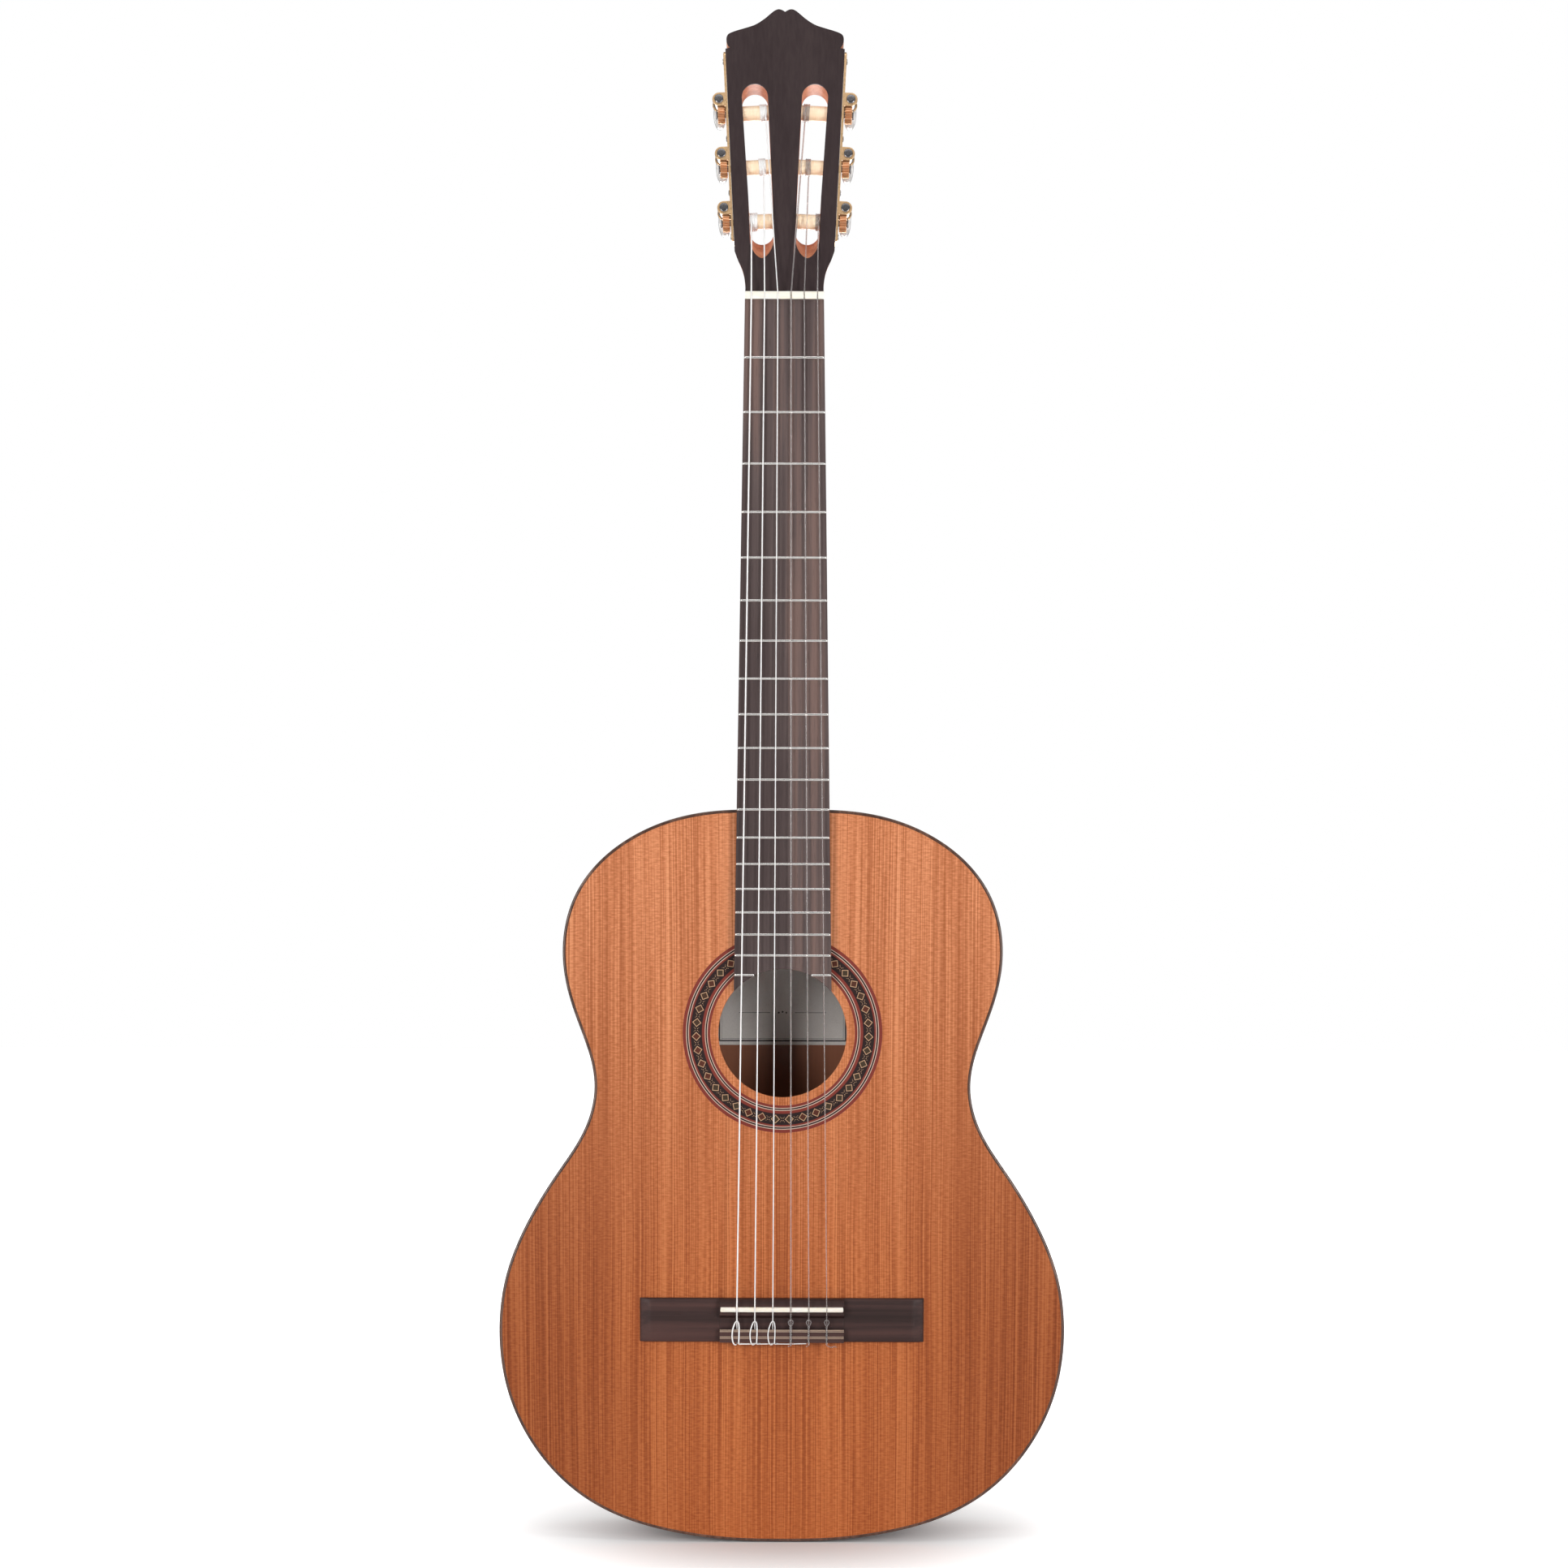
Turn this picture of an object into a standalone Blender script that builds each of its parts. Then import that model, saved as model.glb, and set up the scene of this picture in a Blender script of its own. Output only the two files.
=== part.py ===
"""Classical guitar, built as a luthier builds it: soundboard, ribs, back, linings, blocks and
braces, neck with a slotted head, fingerboard with frets, bridge, strings and two banks of
worm-geared tuning machines.

Frame: the guitar stands on its tail. Z runs up along the neck, Y runs from front (strings) to
back, X runs from the bass side (-X) to the treble side (+X). The origin is the centre of the
bounding box's bottom face. All working dimensions are in millimetres, y is measured from the
soundboard's face, and a "drop" is a distance below the nut's lower edge.
"""
import math

import bpy
import bmesh
import numpy as np
from mathutils import Vector

# ------------------------------------------------------------------ driving dimensions
MM = 0.001
Y_MID = 43.5            # middle of the bounding box, front to back
GAP = 0.3               # clearance between neighbouring pieces
SIDES = (-1, 1)         # bass, treble

SCALE_LENGTH = 650.0    # nut to saddle before compensation
BODY_LENGTH = 489.5     # tail to neck joint
JOINT_DROP = SCALE_LENGTH / 2            # the twelfth fret is at the body joint
NUT_Z = BODY_LENGTH + JOINT_DROP
NUT_THICK = 5.0
NUT_WIDTH = 51.0
BOARD_WIDTH_12 = 61.0   # fingerboard width at the twelfth fret
BOARD_TOP = -7.0        # y of the fingerboard's playing surface
BOARD_UNDER = -0.3

TOP_THICK = 2.5
BACK_THICK = 2.5
RIB_THICK = 2.0
TOP_IN = TOP_THICK + GAP        # first free depth behind the soundboard
BACK_IN = BACK_THICK + GAP      # and in front of the back
DEPTH_MAX = 100.5       # soundboard face to the back's highest point
BACK_CREST_Z = 120.0    # height of that point
BACK_FALL = 6.5         # how much shallower the body is at the neck joint
BACK_ARCH_R = 4600.0    # sideways arch radius of the back

HOLE_R = 42.5
HOLE_DROP = 471.6
HOLE_Z = NUT_Z - HOLE_DROP

# half of the body plan: half width, distance below the neck joint
PLAN = [
    (0, 0), (44, 0.8), (76, 7.2), (98, 16.8), (120, 32.8), (137, 55.5), (145.6, 96.5),
    (139.5, 129), (125, 182), (131, 209), (151.5, 242), (171, 274.5), (185, 310),
    (189.5, 347), (183.5, 389.5), (168, 423), (138, 456), (108.5, 472.8), (74, 483),
    (34.5, 488.5), (0, 489.5),
]
PLAN_STEPS = 36         # spans on each half of the sampled plan
SPLINE_SAMPLES = 1200

BRIDGE_TOP_DROP, BRIDGE_END_DROP = 648.4, 677.9
SADDLE_DROP, SADDLE_THICK = 655.2, 3.2
SADDLE_TOP = -12.3      # y of the saddle's crest
SADDLE_SPREAD = 60.0    # first string to sixth at the saddle
NUT_SPREAD = 42.6       # and at the nut
NUT_STRING_Y = BOARD_TOP - 1.3          # underside of every string at the nut
TIE_HOLE_Y = -5.7

STRING_R = {6: 0.52, 5: 0.44, 4: 0.37, 3: 0.50, 2: 0.41, 1: 0.36}
# string: side, roller counted from the nut, distance of the string's end from the centre line
STRING_ROLLER = {6: (-1, 0, 21.4), 5: (-1, 1, 13.6), 4: (-1, 2, 12.8),
                 3: (1, 2, 13.4), 2: (1, 1, 15.6), 1: (1, 0, 21.8)}

# ------------------------------------------------------------------ materials
# finish: base colour, roughness, metallic
FINISH = {
    "cedar": ((0.56, 0.25, 0.10), 0.35, 0.0),
    "mahogany": ((0.30, 0.11, 0.05), 0.35, 0.0),
    "neck_wood": ((0.38, 0.17, 0.09), 0.4, 0.0),
    "rosewood": ((0.09, 0.045, 0.035), 0.5, 0.0),
    "ebonised": ((0.05, 0.035, 0.035), 0.35, 0.0),
    "binding": ((0.035, 0.02, 0.018), 0.3, 0.0),
    "spruce": ((0.72, 0.55, 0.36), 0.6, 0.0),
    "bone": ((0.86, 0.80, 0.68), 0.35, 0.0),
    "nickel": ((0.75, 0.74, 0.70), 0.25, 1.0),
    "gold": ((0.85, 0.60, 0.28), 0.25, 1.0),
    "steel": ((0.20, 0.19, 0.19), 0.3, 1.0),
    "pearl": ((0.88, 0.86, 0.82), 0.2, 0.0),
    "roller": ((0.80, 0.66, 0.46), 0.4, 0.0),
    "wound": ((0.80, 0.80, 0.80), 0.3, 1.0),
    "nylon": ((0.55, 0.52, 0.52), 0.2, 0.0),
    "mosaic": ((0.16, 0.05, 0.04), 0.4, 0.0),
    "paper": ((0.72, 0.70, 0.66), 0.8, 0.0),
}


def material(name, finish):
    """A material of its own for each piece."""
    colour, roughness, metallic = FINISH[finish]
    mat = bpy.data.materials.new(name)
    mat.use_nodes = True
    inputs = mat.node_tree.nodes["Principled BSDF"].inputs
    inputs["Base Color"].default_value = (*colour, 1.0)
    inputs["Roughness"].default_value = roughness
    inputs["Metallic"].default_value = metallic
    return mat


# ------------------------------------------------------------------ mesh helpers
# A "solid" below is a pair of lists: points in metres, faces.
SHARP_ANGLE = math.radians(35)
WELD = 0.000002         # metres; closer points are merged after a boolean


def world(x, y, z):
    """Working millimetres to scene metres."""
    return Vector((x * MM, (y - Y_MID) * MM, z * MM))


def mix(a, b, share):
    return a * (1 - share) + b * share


def signed_power(value, power):
    return math.copysign(abs(value) ** power, value)


def mirrored(half):
    """A half outline ending on the centre line, carried on over the other side."""
    return half + [(-x, y) for x, y in half[-2::-1]]


def angles(count):
    return [2 * math.pi * k / count for k in range(count)]


def make(name, solid, finish=None, origin=(0, 0, 0), smooth=False):
    """One object from a solid; its origin, in metres, matters for a moving piece."""
    verts, faces = solid
    origin = Vector(origin)
    mesh = bpy.data.meshes.new(name)
    mesh.from_pydata([tuple(Vector(v) - origin) for v in verts], [], faces)
    bm = bmesh.new()
    bm.from_mesh(mesh)
    bmesh.ops.recalc_face_normals(bm, faces=bm.faces[:])
    if bm.calc_volume(signed=True) < 0:
        bmesh.ops.reverse_faces(bm, faces=bm.faces[:])
    bm.to_mesh(mesh)
    bm.free()
    if smooth:
        mesh.shade_smooth()
        mesh.set_sharp_from_angle(angle=SHARP_ANGLE)
    obj = bpy.data.objects.new(name, mesh)
    obj.location = origin
    bpy.context.scene.collection.objects.link(obj)
    if finish:
        mesh.materials.append(material(name, finish))
    return obj


def loft(rings, closed_path=False):
    """Skin through rings of equal length, capped unless closed; one point makes a tip."""
    verts, faces, base = [], [], []
    for ring in rings:
        base.append(len(verts))
        verts += list(ring)
    count = max(len(ring) for ring in rings)
    pairs = list(zip(range(len(rings)), range(1, len(rings))))
    if closed_path:
        pairs.append((len(rings) - 1, 0))
    for i, j in pairs:
        for k in range(count):
            k2 = (k + 1) % count
            if len(rings[i]) == 1:
                faces.append((base[i], base[j] + k, base[j] + k2))
            elif len(rings[j]) == 1:
                faces.append((base[i] + k, base[i] + k2, base[j]))
            else:
                faces.append((base[i] + k, base[i] + k2, base[j] + k2, base[j] + k))
    if not closed_path:
        for i in (0, len(rings) - 1):
            if len(rings[i]) > 1:
                faces.append(tuple(base[i] + k for k in range(len(rings[i]))))
    return verts, faces


def join(solids):
    """Several solids as one, without merging them."""
    verts, faces = [], []
    for part_verts, part_faces in solids:
        base = len(verts)
        verts += part_verts
        faces += [tuple(i + base for i in face) for face in part_faces]
    return verts, faces


def boolean(obj, solids, operation="DIFFERENCE"):
    """Applies an exact boolean of each solid to obj in turn, then welds the result."""
    for solid in solids:
        tool = make("tool", solid)
        modifier = obj.modifiers.new("cut", "BOOLEAN")
        modifier.object = tool
        modifier.operation = operation
        modifier.solver = "EXACT"
        bpy.context.view_layer.update()
        depsgraph = bpy.context.evaluated_depsgraph_get()
        mesh = bpy.data.meshes.new_from_object(obj.evaluated_get(depsgraph))
        obj.modifiers.clear()
        obj.data = mesh
        mesh.name = obj.name
        bpy.data.objects.remove(tool, do_unlink=True)
    bm = bmesh.new()
    bm.from_mesh(obj.data)
    bmesh.ops.remove_doubles(bm, verts=bm.verts[:], dist=WELD)
    bmesh.ops.dissolve_degenerate(bm, dist=WELD, edges=bm.edges[:])
    bm.to_mesh(obj.data)
    bm.free()


def box(x0, x1, y0, y1, z0, z1):
    corners = ((x0, y0), (x1, y0), (x1, y1), (x0, y1))
    return loft([[world(x, y, z) for x, y in corners] for z in (z0, z1)])


def prism_xz(outline, y0, y1):
    """An (x, z) outline carried from y0 to y1."""
    return loft([[world(x, y, z) for x, z in outline] for y in (y0, y1)])


def prism_yz(outline, x0, x1):
    """A (y, z) outline carried from x0 to x1."""
    return loft([[world(x, y, z) for y, z in outline] for x in (x0, x1)])


def tube(start, axis, radius, length, count):
    """A cylinder from start along axis, all in metres."""
    axis = Vector(axis).normalized()
    across = axis.orthogonal().normalized()
    square = axis.cross(across)
    return loft([[start + axis * s + (across * math.cos(th) + square * math.sin(th)) * radius
                  for th in angles(count)] for s in (0, length)])


# ------------------------------------------------------------------ body plan
def clamped_spline(points, steps):
    """Cubic spline through the plan points, square to the centre line at both ends,
    sampled at equal steps of length."""
    pts = np.array(points, float)
    chords = np.linalg.norm(np.diff(pts, axis=0), axis=1)
    knots = np.concatenate([[0], np.cumsum(chords)])
    count = len(pts)
    gaps = np.diff(knots)
    end_slopes = np.array([[1.0, 0.0], [-1.0, 0.0]])
    system = np.zeros((count, count))
    right = np.zeros((count, 2))
    system[0, 0], system[0, 1] = 2 * gaps[0], gaps[0]
    right[0] = 6 * ((pts[1] - pts[0]) / gaps[0] - end_slopes[0])
    system[-1, -1], system[-1, -2] = 2 * gaps[-1], gaps[-1]
    right[-1] = 6 * (end_slopes[1] - (pts[-1] - pts[-2]) / gaps[-1])
    for i in range(1, count - 1):
        before, after = gaps[i - 1], gaps[i]
        system[i, i - 1:i + 2] = before, 2 * (before + after), after
        right[i] = 6 * ((pts[i + 1] - pts[i]) / after - (pts[i] - pts[i - 1]) / before)
    bends = np.linalg.solve(system, right)

    def at(t):
        i = min(max(int(np.searchsorted(knots, t) - 1), 0), count - 2)
        done, left, gap = t - knots[i], knots[i + 1] - t, gaps[i]
        return ((bends[i] * left ** 3 + bends[i + 1] * done ** 3) / (6 * gap)
                + (pts[i] / gap - bends[i] * gap / 6) * left
                + (pts[i + 1] / gap - bends[i + 1] * gap / 6) * done)

    fine = np.array([at(t) for t in np.linspace(0, knots[-1], SPLINE_SAMPLES)])
    lengths = np.linalg.norm(np.diff(fine, axis=0), axis=1)
    run = np.concatenate([[0], np.cumsum(lengths)])
    want = np.linspace(0, run[-1], steps + 1)
    return [(float(np.interp(want_run, run, fine[:, 0])),
             float(np.interp(want_run, run, fine[:, 1]))) for want_run in want]


def loop_normals(points):
    """Outward unit normals of a closed loop that runs clockwise in x, z."""
    out = []
    for i in range(len(points)):
        before, after = points[i - 1], points[(i + 1) % len(points)]
        dx, dz = after[0] - before[0], after[1] - before[1]
        length = math.hypot(dx, dz)
        out.append((-dz / length, dx / length))
    return out


def inset(points, outward, distance):
    return [(p[0] - q[0] * distance, p[1] - q[1] * distance) for p, q in zip(points, outward)]


# treble half of the plan from the neck joint to the tail, and the whole loop
RIGHT = [(x, BODY_LENGTH - down) for x, down in clamped_spline(PLAN, PLAN_STEPS)]
LOOP = RIGHT + [(-x, z) for x, z in RIGHT[-2:0:-1]]
LOOP_N = loop_normals(LOOP)
RIGHT_N = LOOP_N[:len(RIGHT)]


def back_y(x, z):
    """The back's outer surface: arched along and across."""
    along = DEPTH_MAX - BACK_FALL * ((z - BACK_CREST_Z) / (BODY_LENGTH - BACK_CREST_Z)) ** 2
    return along - x * x / (2 * BACK_ARCH_R)


def band(points, outward, profile, closed=True):
    """A strip that follows the plan; profile gives (inset, y) corners from the back's y."""
    rings = []
    for p, q in zip(points, outward):
        corners = profile(back_y(p[0], p[1]))
        rings.append([world(p[0] - q[0] * d, y, p[1] - q[1] * d) for d, y in corners])
    return loft(rings, closed_path=closed)


# ------------------------------------------------------------------ soundboard and rosette
ROSETTE_R0, ROSETTE_R1 = 48.0, 66.2     # the groove's radii
GROOVE_DEPTH, ROSETTE_THICK = 1.5, 1.2
HOLE_SEGMENTS = 48


def hole_circle(radius, y):
    """A ring about the soundhole's axis."""
    return [world(radius * math.cos(th), y, HOLE_Z + radius * math.sin(th))
            for th in angles(HOLE_SEGMENTS)]


def hole_washer(r0, r1, y0, y1):
    return loft([hole_circle(r0, y0), hole_circle(r0, y1),
                 hole_circle(r1, y1), hole_circle(r1, y0)], closed_path=True)


def build_soundboard():
    outline = inset(LOOP, LOOP_N, RIB_THICK + GAP)
    soundboard = make("soundboard", prism_xz(outline, 0.0, TOP_THICK), "cedar")
    hole = loft([hole_circle(HOLE_R, -5), hole_circle(HOLE_R, 10)])
    boolean(soundboard, [hole, hole_washer(ROSETTE_R0, ROSETTE_R1, -3, GROOVE_DEPTH)])
    rosette = hole_washer(ROSETTE_R0 + GAP, ROSETTE_R1 - GAP, 0, ROSETTE_THICK)
    make("rosette", rosette, "mosaic")


# ------------------------------------------------------------------ bindings, ribs, linings, back
BINDING_HIGH = 6.0
LINING_INSET = 8.3      # the linings' inner edge, from the rib's outer face
LINING_DEPTH = 16.0     # the linings' reach from the outer face of soundboard or back
PLATE_FRACTIONS = (-1, -0.5, 0, 0.5, 1)     # points across a back section
RIB_END_X = 0.25        # each rib stops this far from the centre line


def strip_corners(y0, y1):
    """Section of a strip as thick as the rib."""
    return [(0, y0), (RIB_THICK, y0), (RIB_THICK, y1), (0, y1)]


def lining_corners(y_glued, y_tip):
    """Triangular section of a lining."""
    outer = RIB_THICK + GAP
    return [(outer, y_glued), (LINING_INSET, y_glued), (outer, y_tip)]


def build_bindings():
    top = band(LOOP, LOOP_N, lambda back: strip_corners(0, BINDING_HIGH))
    make("top_binding", top, "binding", smooth=True)
    lower = band(LOOP, LOOP_N, lambda back: strip_corners(back - BINDING_HIGH, back))
    make("back_binding", lower, "binding", smooth=True)


def build_rib(name, side):
    points = [(side * max(x, RIB_END_X), z) for x, z in RIGHT]
    outward = [(side * q[0], q[1]) for q in RIGHT_N]
    # square to the centre line where the two ribs meet
    outward[0] = (0, outward[0][1])
    outward[-1] = (0, outward[-1][1])
    rib = band(points, outward, lambda back: strip_corners(BINDING_HIGH + GAP,
                                                           back - BINDING_HIGH - GAP), False)
    make(name, rib, "mahogany", smooth=True)


def plate_ring(half, z, outer, thick):
    """Section of a plate that follows the back, its outer face lying `outer` inside it."""
    ring = [world(half * k, back_y(half * k, z) - outer, z) for k in PLATE_FRACTIONS]
    return ring + [world(half * k, back_y(half * k, z) - outer - thick, z)
                   for k in reversed(PLATE_FRACTIONS)]


def build_back_plate():
    rows = inset(RIGHT, RIGHT_N, RIB_THICK + GAP)[1:-1]
    back = loft([plate_ring(x, z, 0, BACK_THICK) for x, z in rows])
    make("back_plate", back, "mahogany", smooth=True)


def build_linings():
    top = band(LOOP, LOOP_N, lambda back: lining_corners(TOP_IN, LINING_DEPTH))
    make("top_lining", top, "spruce")
    lower = band(LOOP, LOOP_N, lambda back: lining_corners(back - BACK_IN, back - LINING_DEPTH))
    make("back_lining", lower, "spruce")


def build_label():
    """Paper glued inside the back, in view of the soundhole."""
    label = loft([plate_ring(52, z, BACK_IN, 0.3) for z in (330, 350, 370, 390, 406)])
    make("label", label, "paper")


# ------------------------------------------------------------------ blocks and braces
NOTCH_Y = 16.4          # the notch for the top lining ends here
BACK_NOTCH = 14.2       # depth of the notch for the back lining
BAR_TAPER = 24          # length of a bar's sloping ends
BAR_END_HIGH = 3.5
BRACE_WIDE = 5.0
PATCH_HALF, PATCH_THICK, PATCH_HALF_HIGH = 92, 2.2, 17      # plate under the bridge
LINING_LINE = inset(RIGHT, RIGHT_N, 9.0)    # bounds the clear space between the linings

# name: height, width, depth, glued to the soundboard (else to the back)
CROSS_BARS = {
    "upper_bar": (HOLE_Z + 62, 8, 15, True),
    "lower_bar": (HOLE_Z - 62, 8, 15, True),
    "back_brace_upper": (424, 7, 14, False),
    "back_brace_middle": (262, 8, 16, False),
    "back_brace_lower": (128, 8, 16, False),
}


def build_block(name, half, z_inner, z_notch, z_outer):
    """End block, notched where the continuous linings pass."""
    y_back = back_y(half, z_outer) - BACK_IN - 0.2
    y_notch = y_back - BACK_NOTCH
    plan = [(TOP_IN, z_inner), (TOP_IN, z_notch), (NOTCH_Y, z_notch), (NOTCH_Y, z_outer),
            (y_notch, z_outer), (y_notch, z_notch), (y_back, z_notch), (y_back, z_inner)]
    make(name, prism_yz(plan, -half, half), "neck_wood")


def inner_half(z):
    """Half width of the clear space between the linings at height z."""
    return float(np.interp(-z, [-p[1] for p in LINING_LINE], [p[0] for p in LINING_LINE]))


def build_cross_bar(name, z, wide, high, on_top):
    """Transverse bar across the inside."""
    z0, z1 = z - wide / 2, z + wide / 2
    half = min(inner_half(z0), inner_half(z), inner_half(z1))
    xs = [-half, -half + BAR_TAPER, -half / 2, 0, half / 2, half - BAR_TAPER, half]
    heights = [BAR_END_HIGH] + [high] * 5 + [BAR_END_HIGH]
    outer = [(x, TOP_IN if on_top else back_y(x, z) - BACK_IN - 0.1) for x in xs]
    inward = 1 if on_top else -1
    inner = [(x, y + h * inward) for (x, y), h in zip(outer, heights)]
    plan = outer + inner[::-1]
    make(name, loft([[world(x, y, level) for x, y in plan] for level in (z0, z1)]), "spruce")


def beam(x0, z0, x1, z1, y0, y1):
    """A straight brace between two points on the soundboard."""
    direction = Vector((x1 - x0, z1 - z0)).normalized()
    px, pz = -direction.y * BRACE_WIDE / 2, direction.x * BRACE_WIDE / 2
    corners = [(x0 + px, z0 + pz), (x1 + px, z1 + pz), (x1 - px, z1 - pz), (x0 - px, z0 - pz)]
    return prism_xz(corners, y0, y1)


def build_fan_bracing():
    """Seven fan braces, two closing bars and the patch under the bridge as one frame."""
    z = NUT_Z - (BRIDGE_TOP_DROP + BRIDGE_END_DROP) / 2
    patch = box(-PATCH_HALF, PATCH_HALF, TOP_IN, TOP_IN + PATCH_THICK,
                z - PATCH_HALF_HIGH, z + PATCH_HALF_HIGH)
    bracing = make("fan_bracing", patch, "spruce")
    # their faces lie 0.1 and 0.2 mm deeper than the patch's, so that none coincide
    fans = [beam(k * 13.0, HOLE_Z - 72, k * 24.0, 62 + abs(k) * 7, TOP_IN + 0.1, TOP_IN + 6.0)
            for k in range(-3, 4)]
    boolean(bracing, [join(fans)], "UNION")
    for side in SIDES:
        closer = beam(side * 88, 106, side * 1.5, 54, TOP_IN + 0.2, TOP_IN + 5.0)
        boolean(bracing, [closer], "UNION")


# ------------------------------------------------------------------ head geometry
HEAD_ANGLE = math.radians(10.0)
FACE_Y = -1.8           # y of the head's face at the nut's upper edge
HEAD_THICK = 20.0
VENEER_THICK = 1.2
HEAD_FOOT_HALF = 25.3
HEAD_FOOT_UP = 0.7      # where the head's own wood starts
# half outline of the head: half width, distance up the face from the nut's upper edge
HEAD_PLAN = [
    (HEAD_FOOT_HALF, 5), (25.7, 8), (26.2, 11), (27.1, 14.3), (28.4, 17.5), (30, 20.7),
    (32.3, 27), (38.65, 159.2),
    (35.4, 160), (37, 161.6), (38.0, 165.7), (37, 168.6), (34.1, 170.2), (30.4, 171.5),
    (25.3, 173), (19.3, 175.1), (13.5, 178.8), (9, 182.6), (6.6, 184.4), (4.3, 185.2),
    (2.2, 184.8), (0, 183.5),
]
# the straight side that carries the tuning machines
(SIDE_X0, SIDE_UP0), (SIDE_X1, SIDE_UP1) = HEAD_PLAN[6:8]
SIDE_TILT = math.atan((SIDE_X1 - SIDE_X0) / (SIDE_UP1 - SIDE_UP0))

ROLLER_UP = (48.4, 83.9, 119.4)         # roller places up the face
ROLLER_CENTRE_IN = 18.0                 # where, in from the side, those places are measured
ROLLER_DEEP = 7.2                       # roller axis below the face
ROLLER_R = 4.8


def head_point(x, up, deep):
    """A point on the head: up the face from the nut's upper edge, deep into the wood."""
    return world(x, FACE_Y + up * math.sin(HEAD_ANGLE) + deep * math.cos(HEAD_ANGLE),
                 NUT_Z + NUT_THICK + up * math.cos(HEAD_ANGLE) - deep * math.sin(HEAD_ANGLE))


def tuner_point(side, out, along, deep):
    """A point in a tuning machine's frame: out of the head's side, along it, and deep."""
    c, s = math.cos(SIDE_TILT), math.sin(SIDE_TILT)
    return head_point(side * (SIDE_X0 + along * s + out * c),
                      SIDE_UP0 + along * c - out * s, deep)


def board_half(drop):
    return (NUT_WIDTH + (BOARD_WIDTH_12 - NUT_WIDTH) * drop / JOINT_DROP) / 2


# ------------------------------------------------------------------ neck
HEEL_CAP_Y = back_y(0, BODY_LENGTH) - 3.2
NECK_END_DROP = JOINT_DROP - GAP
HEEL_LONG = 23.0        # the heel's straight part above the body joint
HEEL_SWEEP = 62         # length of the curve from the heel into the shaft
# height above the neck's lower end, half width of the heel at the cap
HEEL_CAP_PLAN = ((0, 13.5), (7, 12.8), (13, 10.8), (18, 7.6), (21, 4.6))
HEEL_DEPTHS = (0, 0.12, 0.35, 0.68, 1, 1, 1)    # share of the heel's depth at each point
NECK_HEAD_UP = 0.4      # where the neck ends, up the head's face


def quarter_section(half, depth, power):
    """Seven points from the front edge round to the middle of the back."""
    points = []
    for k in range(7):
        th = math.pi / 2 * k / 6
        x = half * math.cos(th) ** power if k < 6 else 0.0
        points.append((x, depth * math.sin(th) ** power))
    return points


def neck_section(drop, depth, cap=0, heel=0, tilt=0.0, power=0.83):
    """Ring round the neck; heel blends the shaft's section (0) into the heel's (1)."""
    width = board_half(drop)
    half = []
    for k, (x_shaft, y_shaft) in enumerate(quarter_section(width, depth, power)):
        share = HEEL_DEPTHS[k]
        if k < 5:
            x_heel = cap + (width - cap) * (1 - share) ** 1.8
        else:
            x_heel = cap * (1 - (k - 4) / 2)
        half.append((mix(x_shaft, x_heel, heel), mix(y_shaft, depth * share, heel)))
    z = NUT_Z - drop
    return [world(x, y, z - y * math.tan(tilt)) for x, y in mirrored(half)]


def shaft_depth(drop):
    return 14.5 + 2.2 * drop / 280.0


def neck_end_ring():
    """The last ring, square to the head's face and starting at the soundboard's plane."""
    start = (-FACE_Y - NECK_HEAD_UP * math.sin(HEAD_ANGLE)) / math.cos(HEAD_ANGLE)
    half = quarter_section(HEAD_FOOT_HALF, HEAD_THICK - start, 0.5)
    return [head_point(x, NECK_HEAD_UP, start + deep) for x, deep in mirrored(half)]


def build_neck():
    rings = [neck_section(NECK_END_DROP - rise, HEEL_CAP_Y, cap, 1.0)
             for rise, cap in HEEL_CAP_PLAN]
    for degrees in (6, 18, 32, 46, 60, 74, 90):
        sweep = math.radians(degrees)
        drop = NECK_END_DROP - HEEL_LONG - HEEL_SWEEP * (1 - math.cos(sweep))
        shaft = shaft_depth(drop)
        heel = 1 - (degrees / 90.0) ** 2 * (3 - 2 * degrees / 90.0)
        depth = shaft + (HEEL_CAP_Y - 1 - shaft) * (1 - math.sin(sweep))
        rings.append(neck_section(drop, depth, 2.5 * heel, heel))
    for drop in (200, 160, 80, 26):
        rings.append(neck_section(drop, shaft_depth(drop)))
    rings.append(neck_section(11, 15.4, tilt=math.radians(4), power=0.72))
    rings.append(neck_end_ring())
    make("neck", loft(rings), "neck_wood", smooth=True)


def build_heel_cap():
    half = [(cap, NUT_Z - NECK_END_DROP + rise) for rise, cap in HEEL_CAP_PLAN]
    outline = half + [(-x, z) for x, z in half[::-1]]
    y_outer = back_y(0, BODY_LENGTH) - 0.1
    make("heel_cap", prism_xz(outline, HEEL_CAP_Y + GAP, y_outer), "rosewood")


# ------------------------------------------------------------------ head: core, veneer, slots
# a slot's edges, at its lower and upper ends
SLOT_INNER_X = (7.0, 11.0)
SLOT_OUTER_X = (22.4, 27.9)
SLOT_UP = (34.2, 127.9)
SLOT_TIP_UP = 21.9      # tip of the scoop on the face
SLOT_BACK_UP, SLOT_BACK_ROUND = 46.0, 8.0       # round lower end on the back of the head
SCOOP_POWER = 1.18


def slot_edge(edge_x, shares):
    """Points between a slot's rounded ends, on one long edge."""
    return [(mix(edge_x[0], edge_x[1], q), mix(SLOT_UP[0] + 12, SLOT_UP[1], q)) for q in shares]


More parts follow.
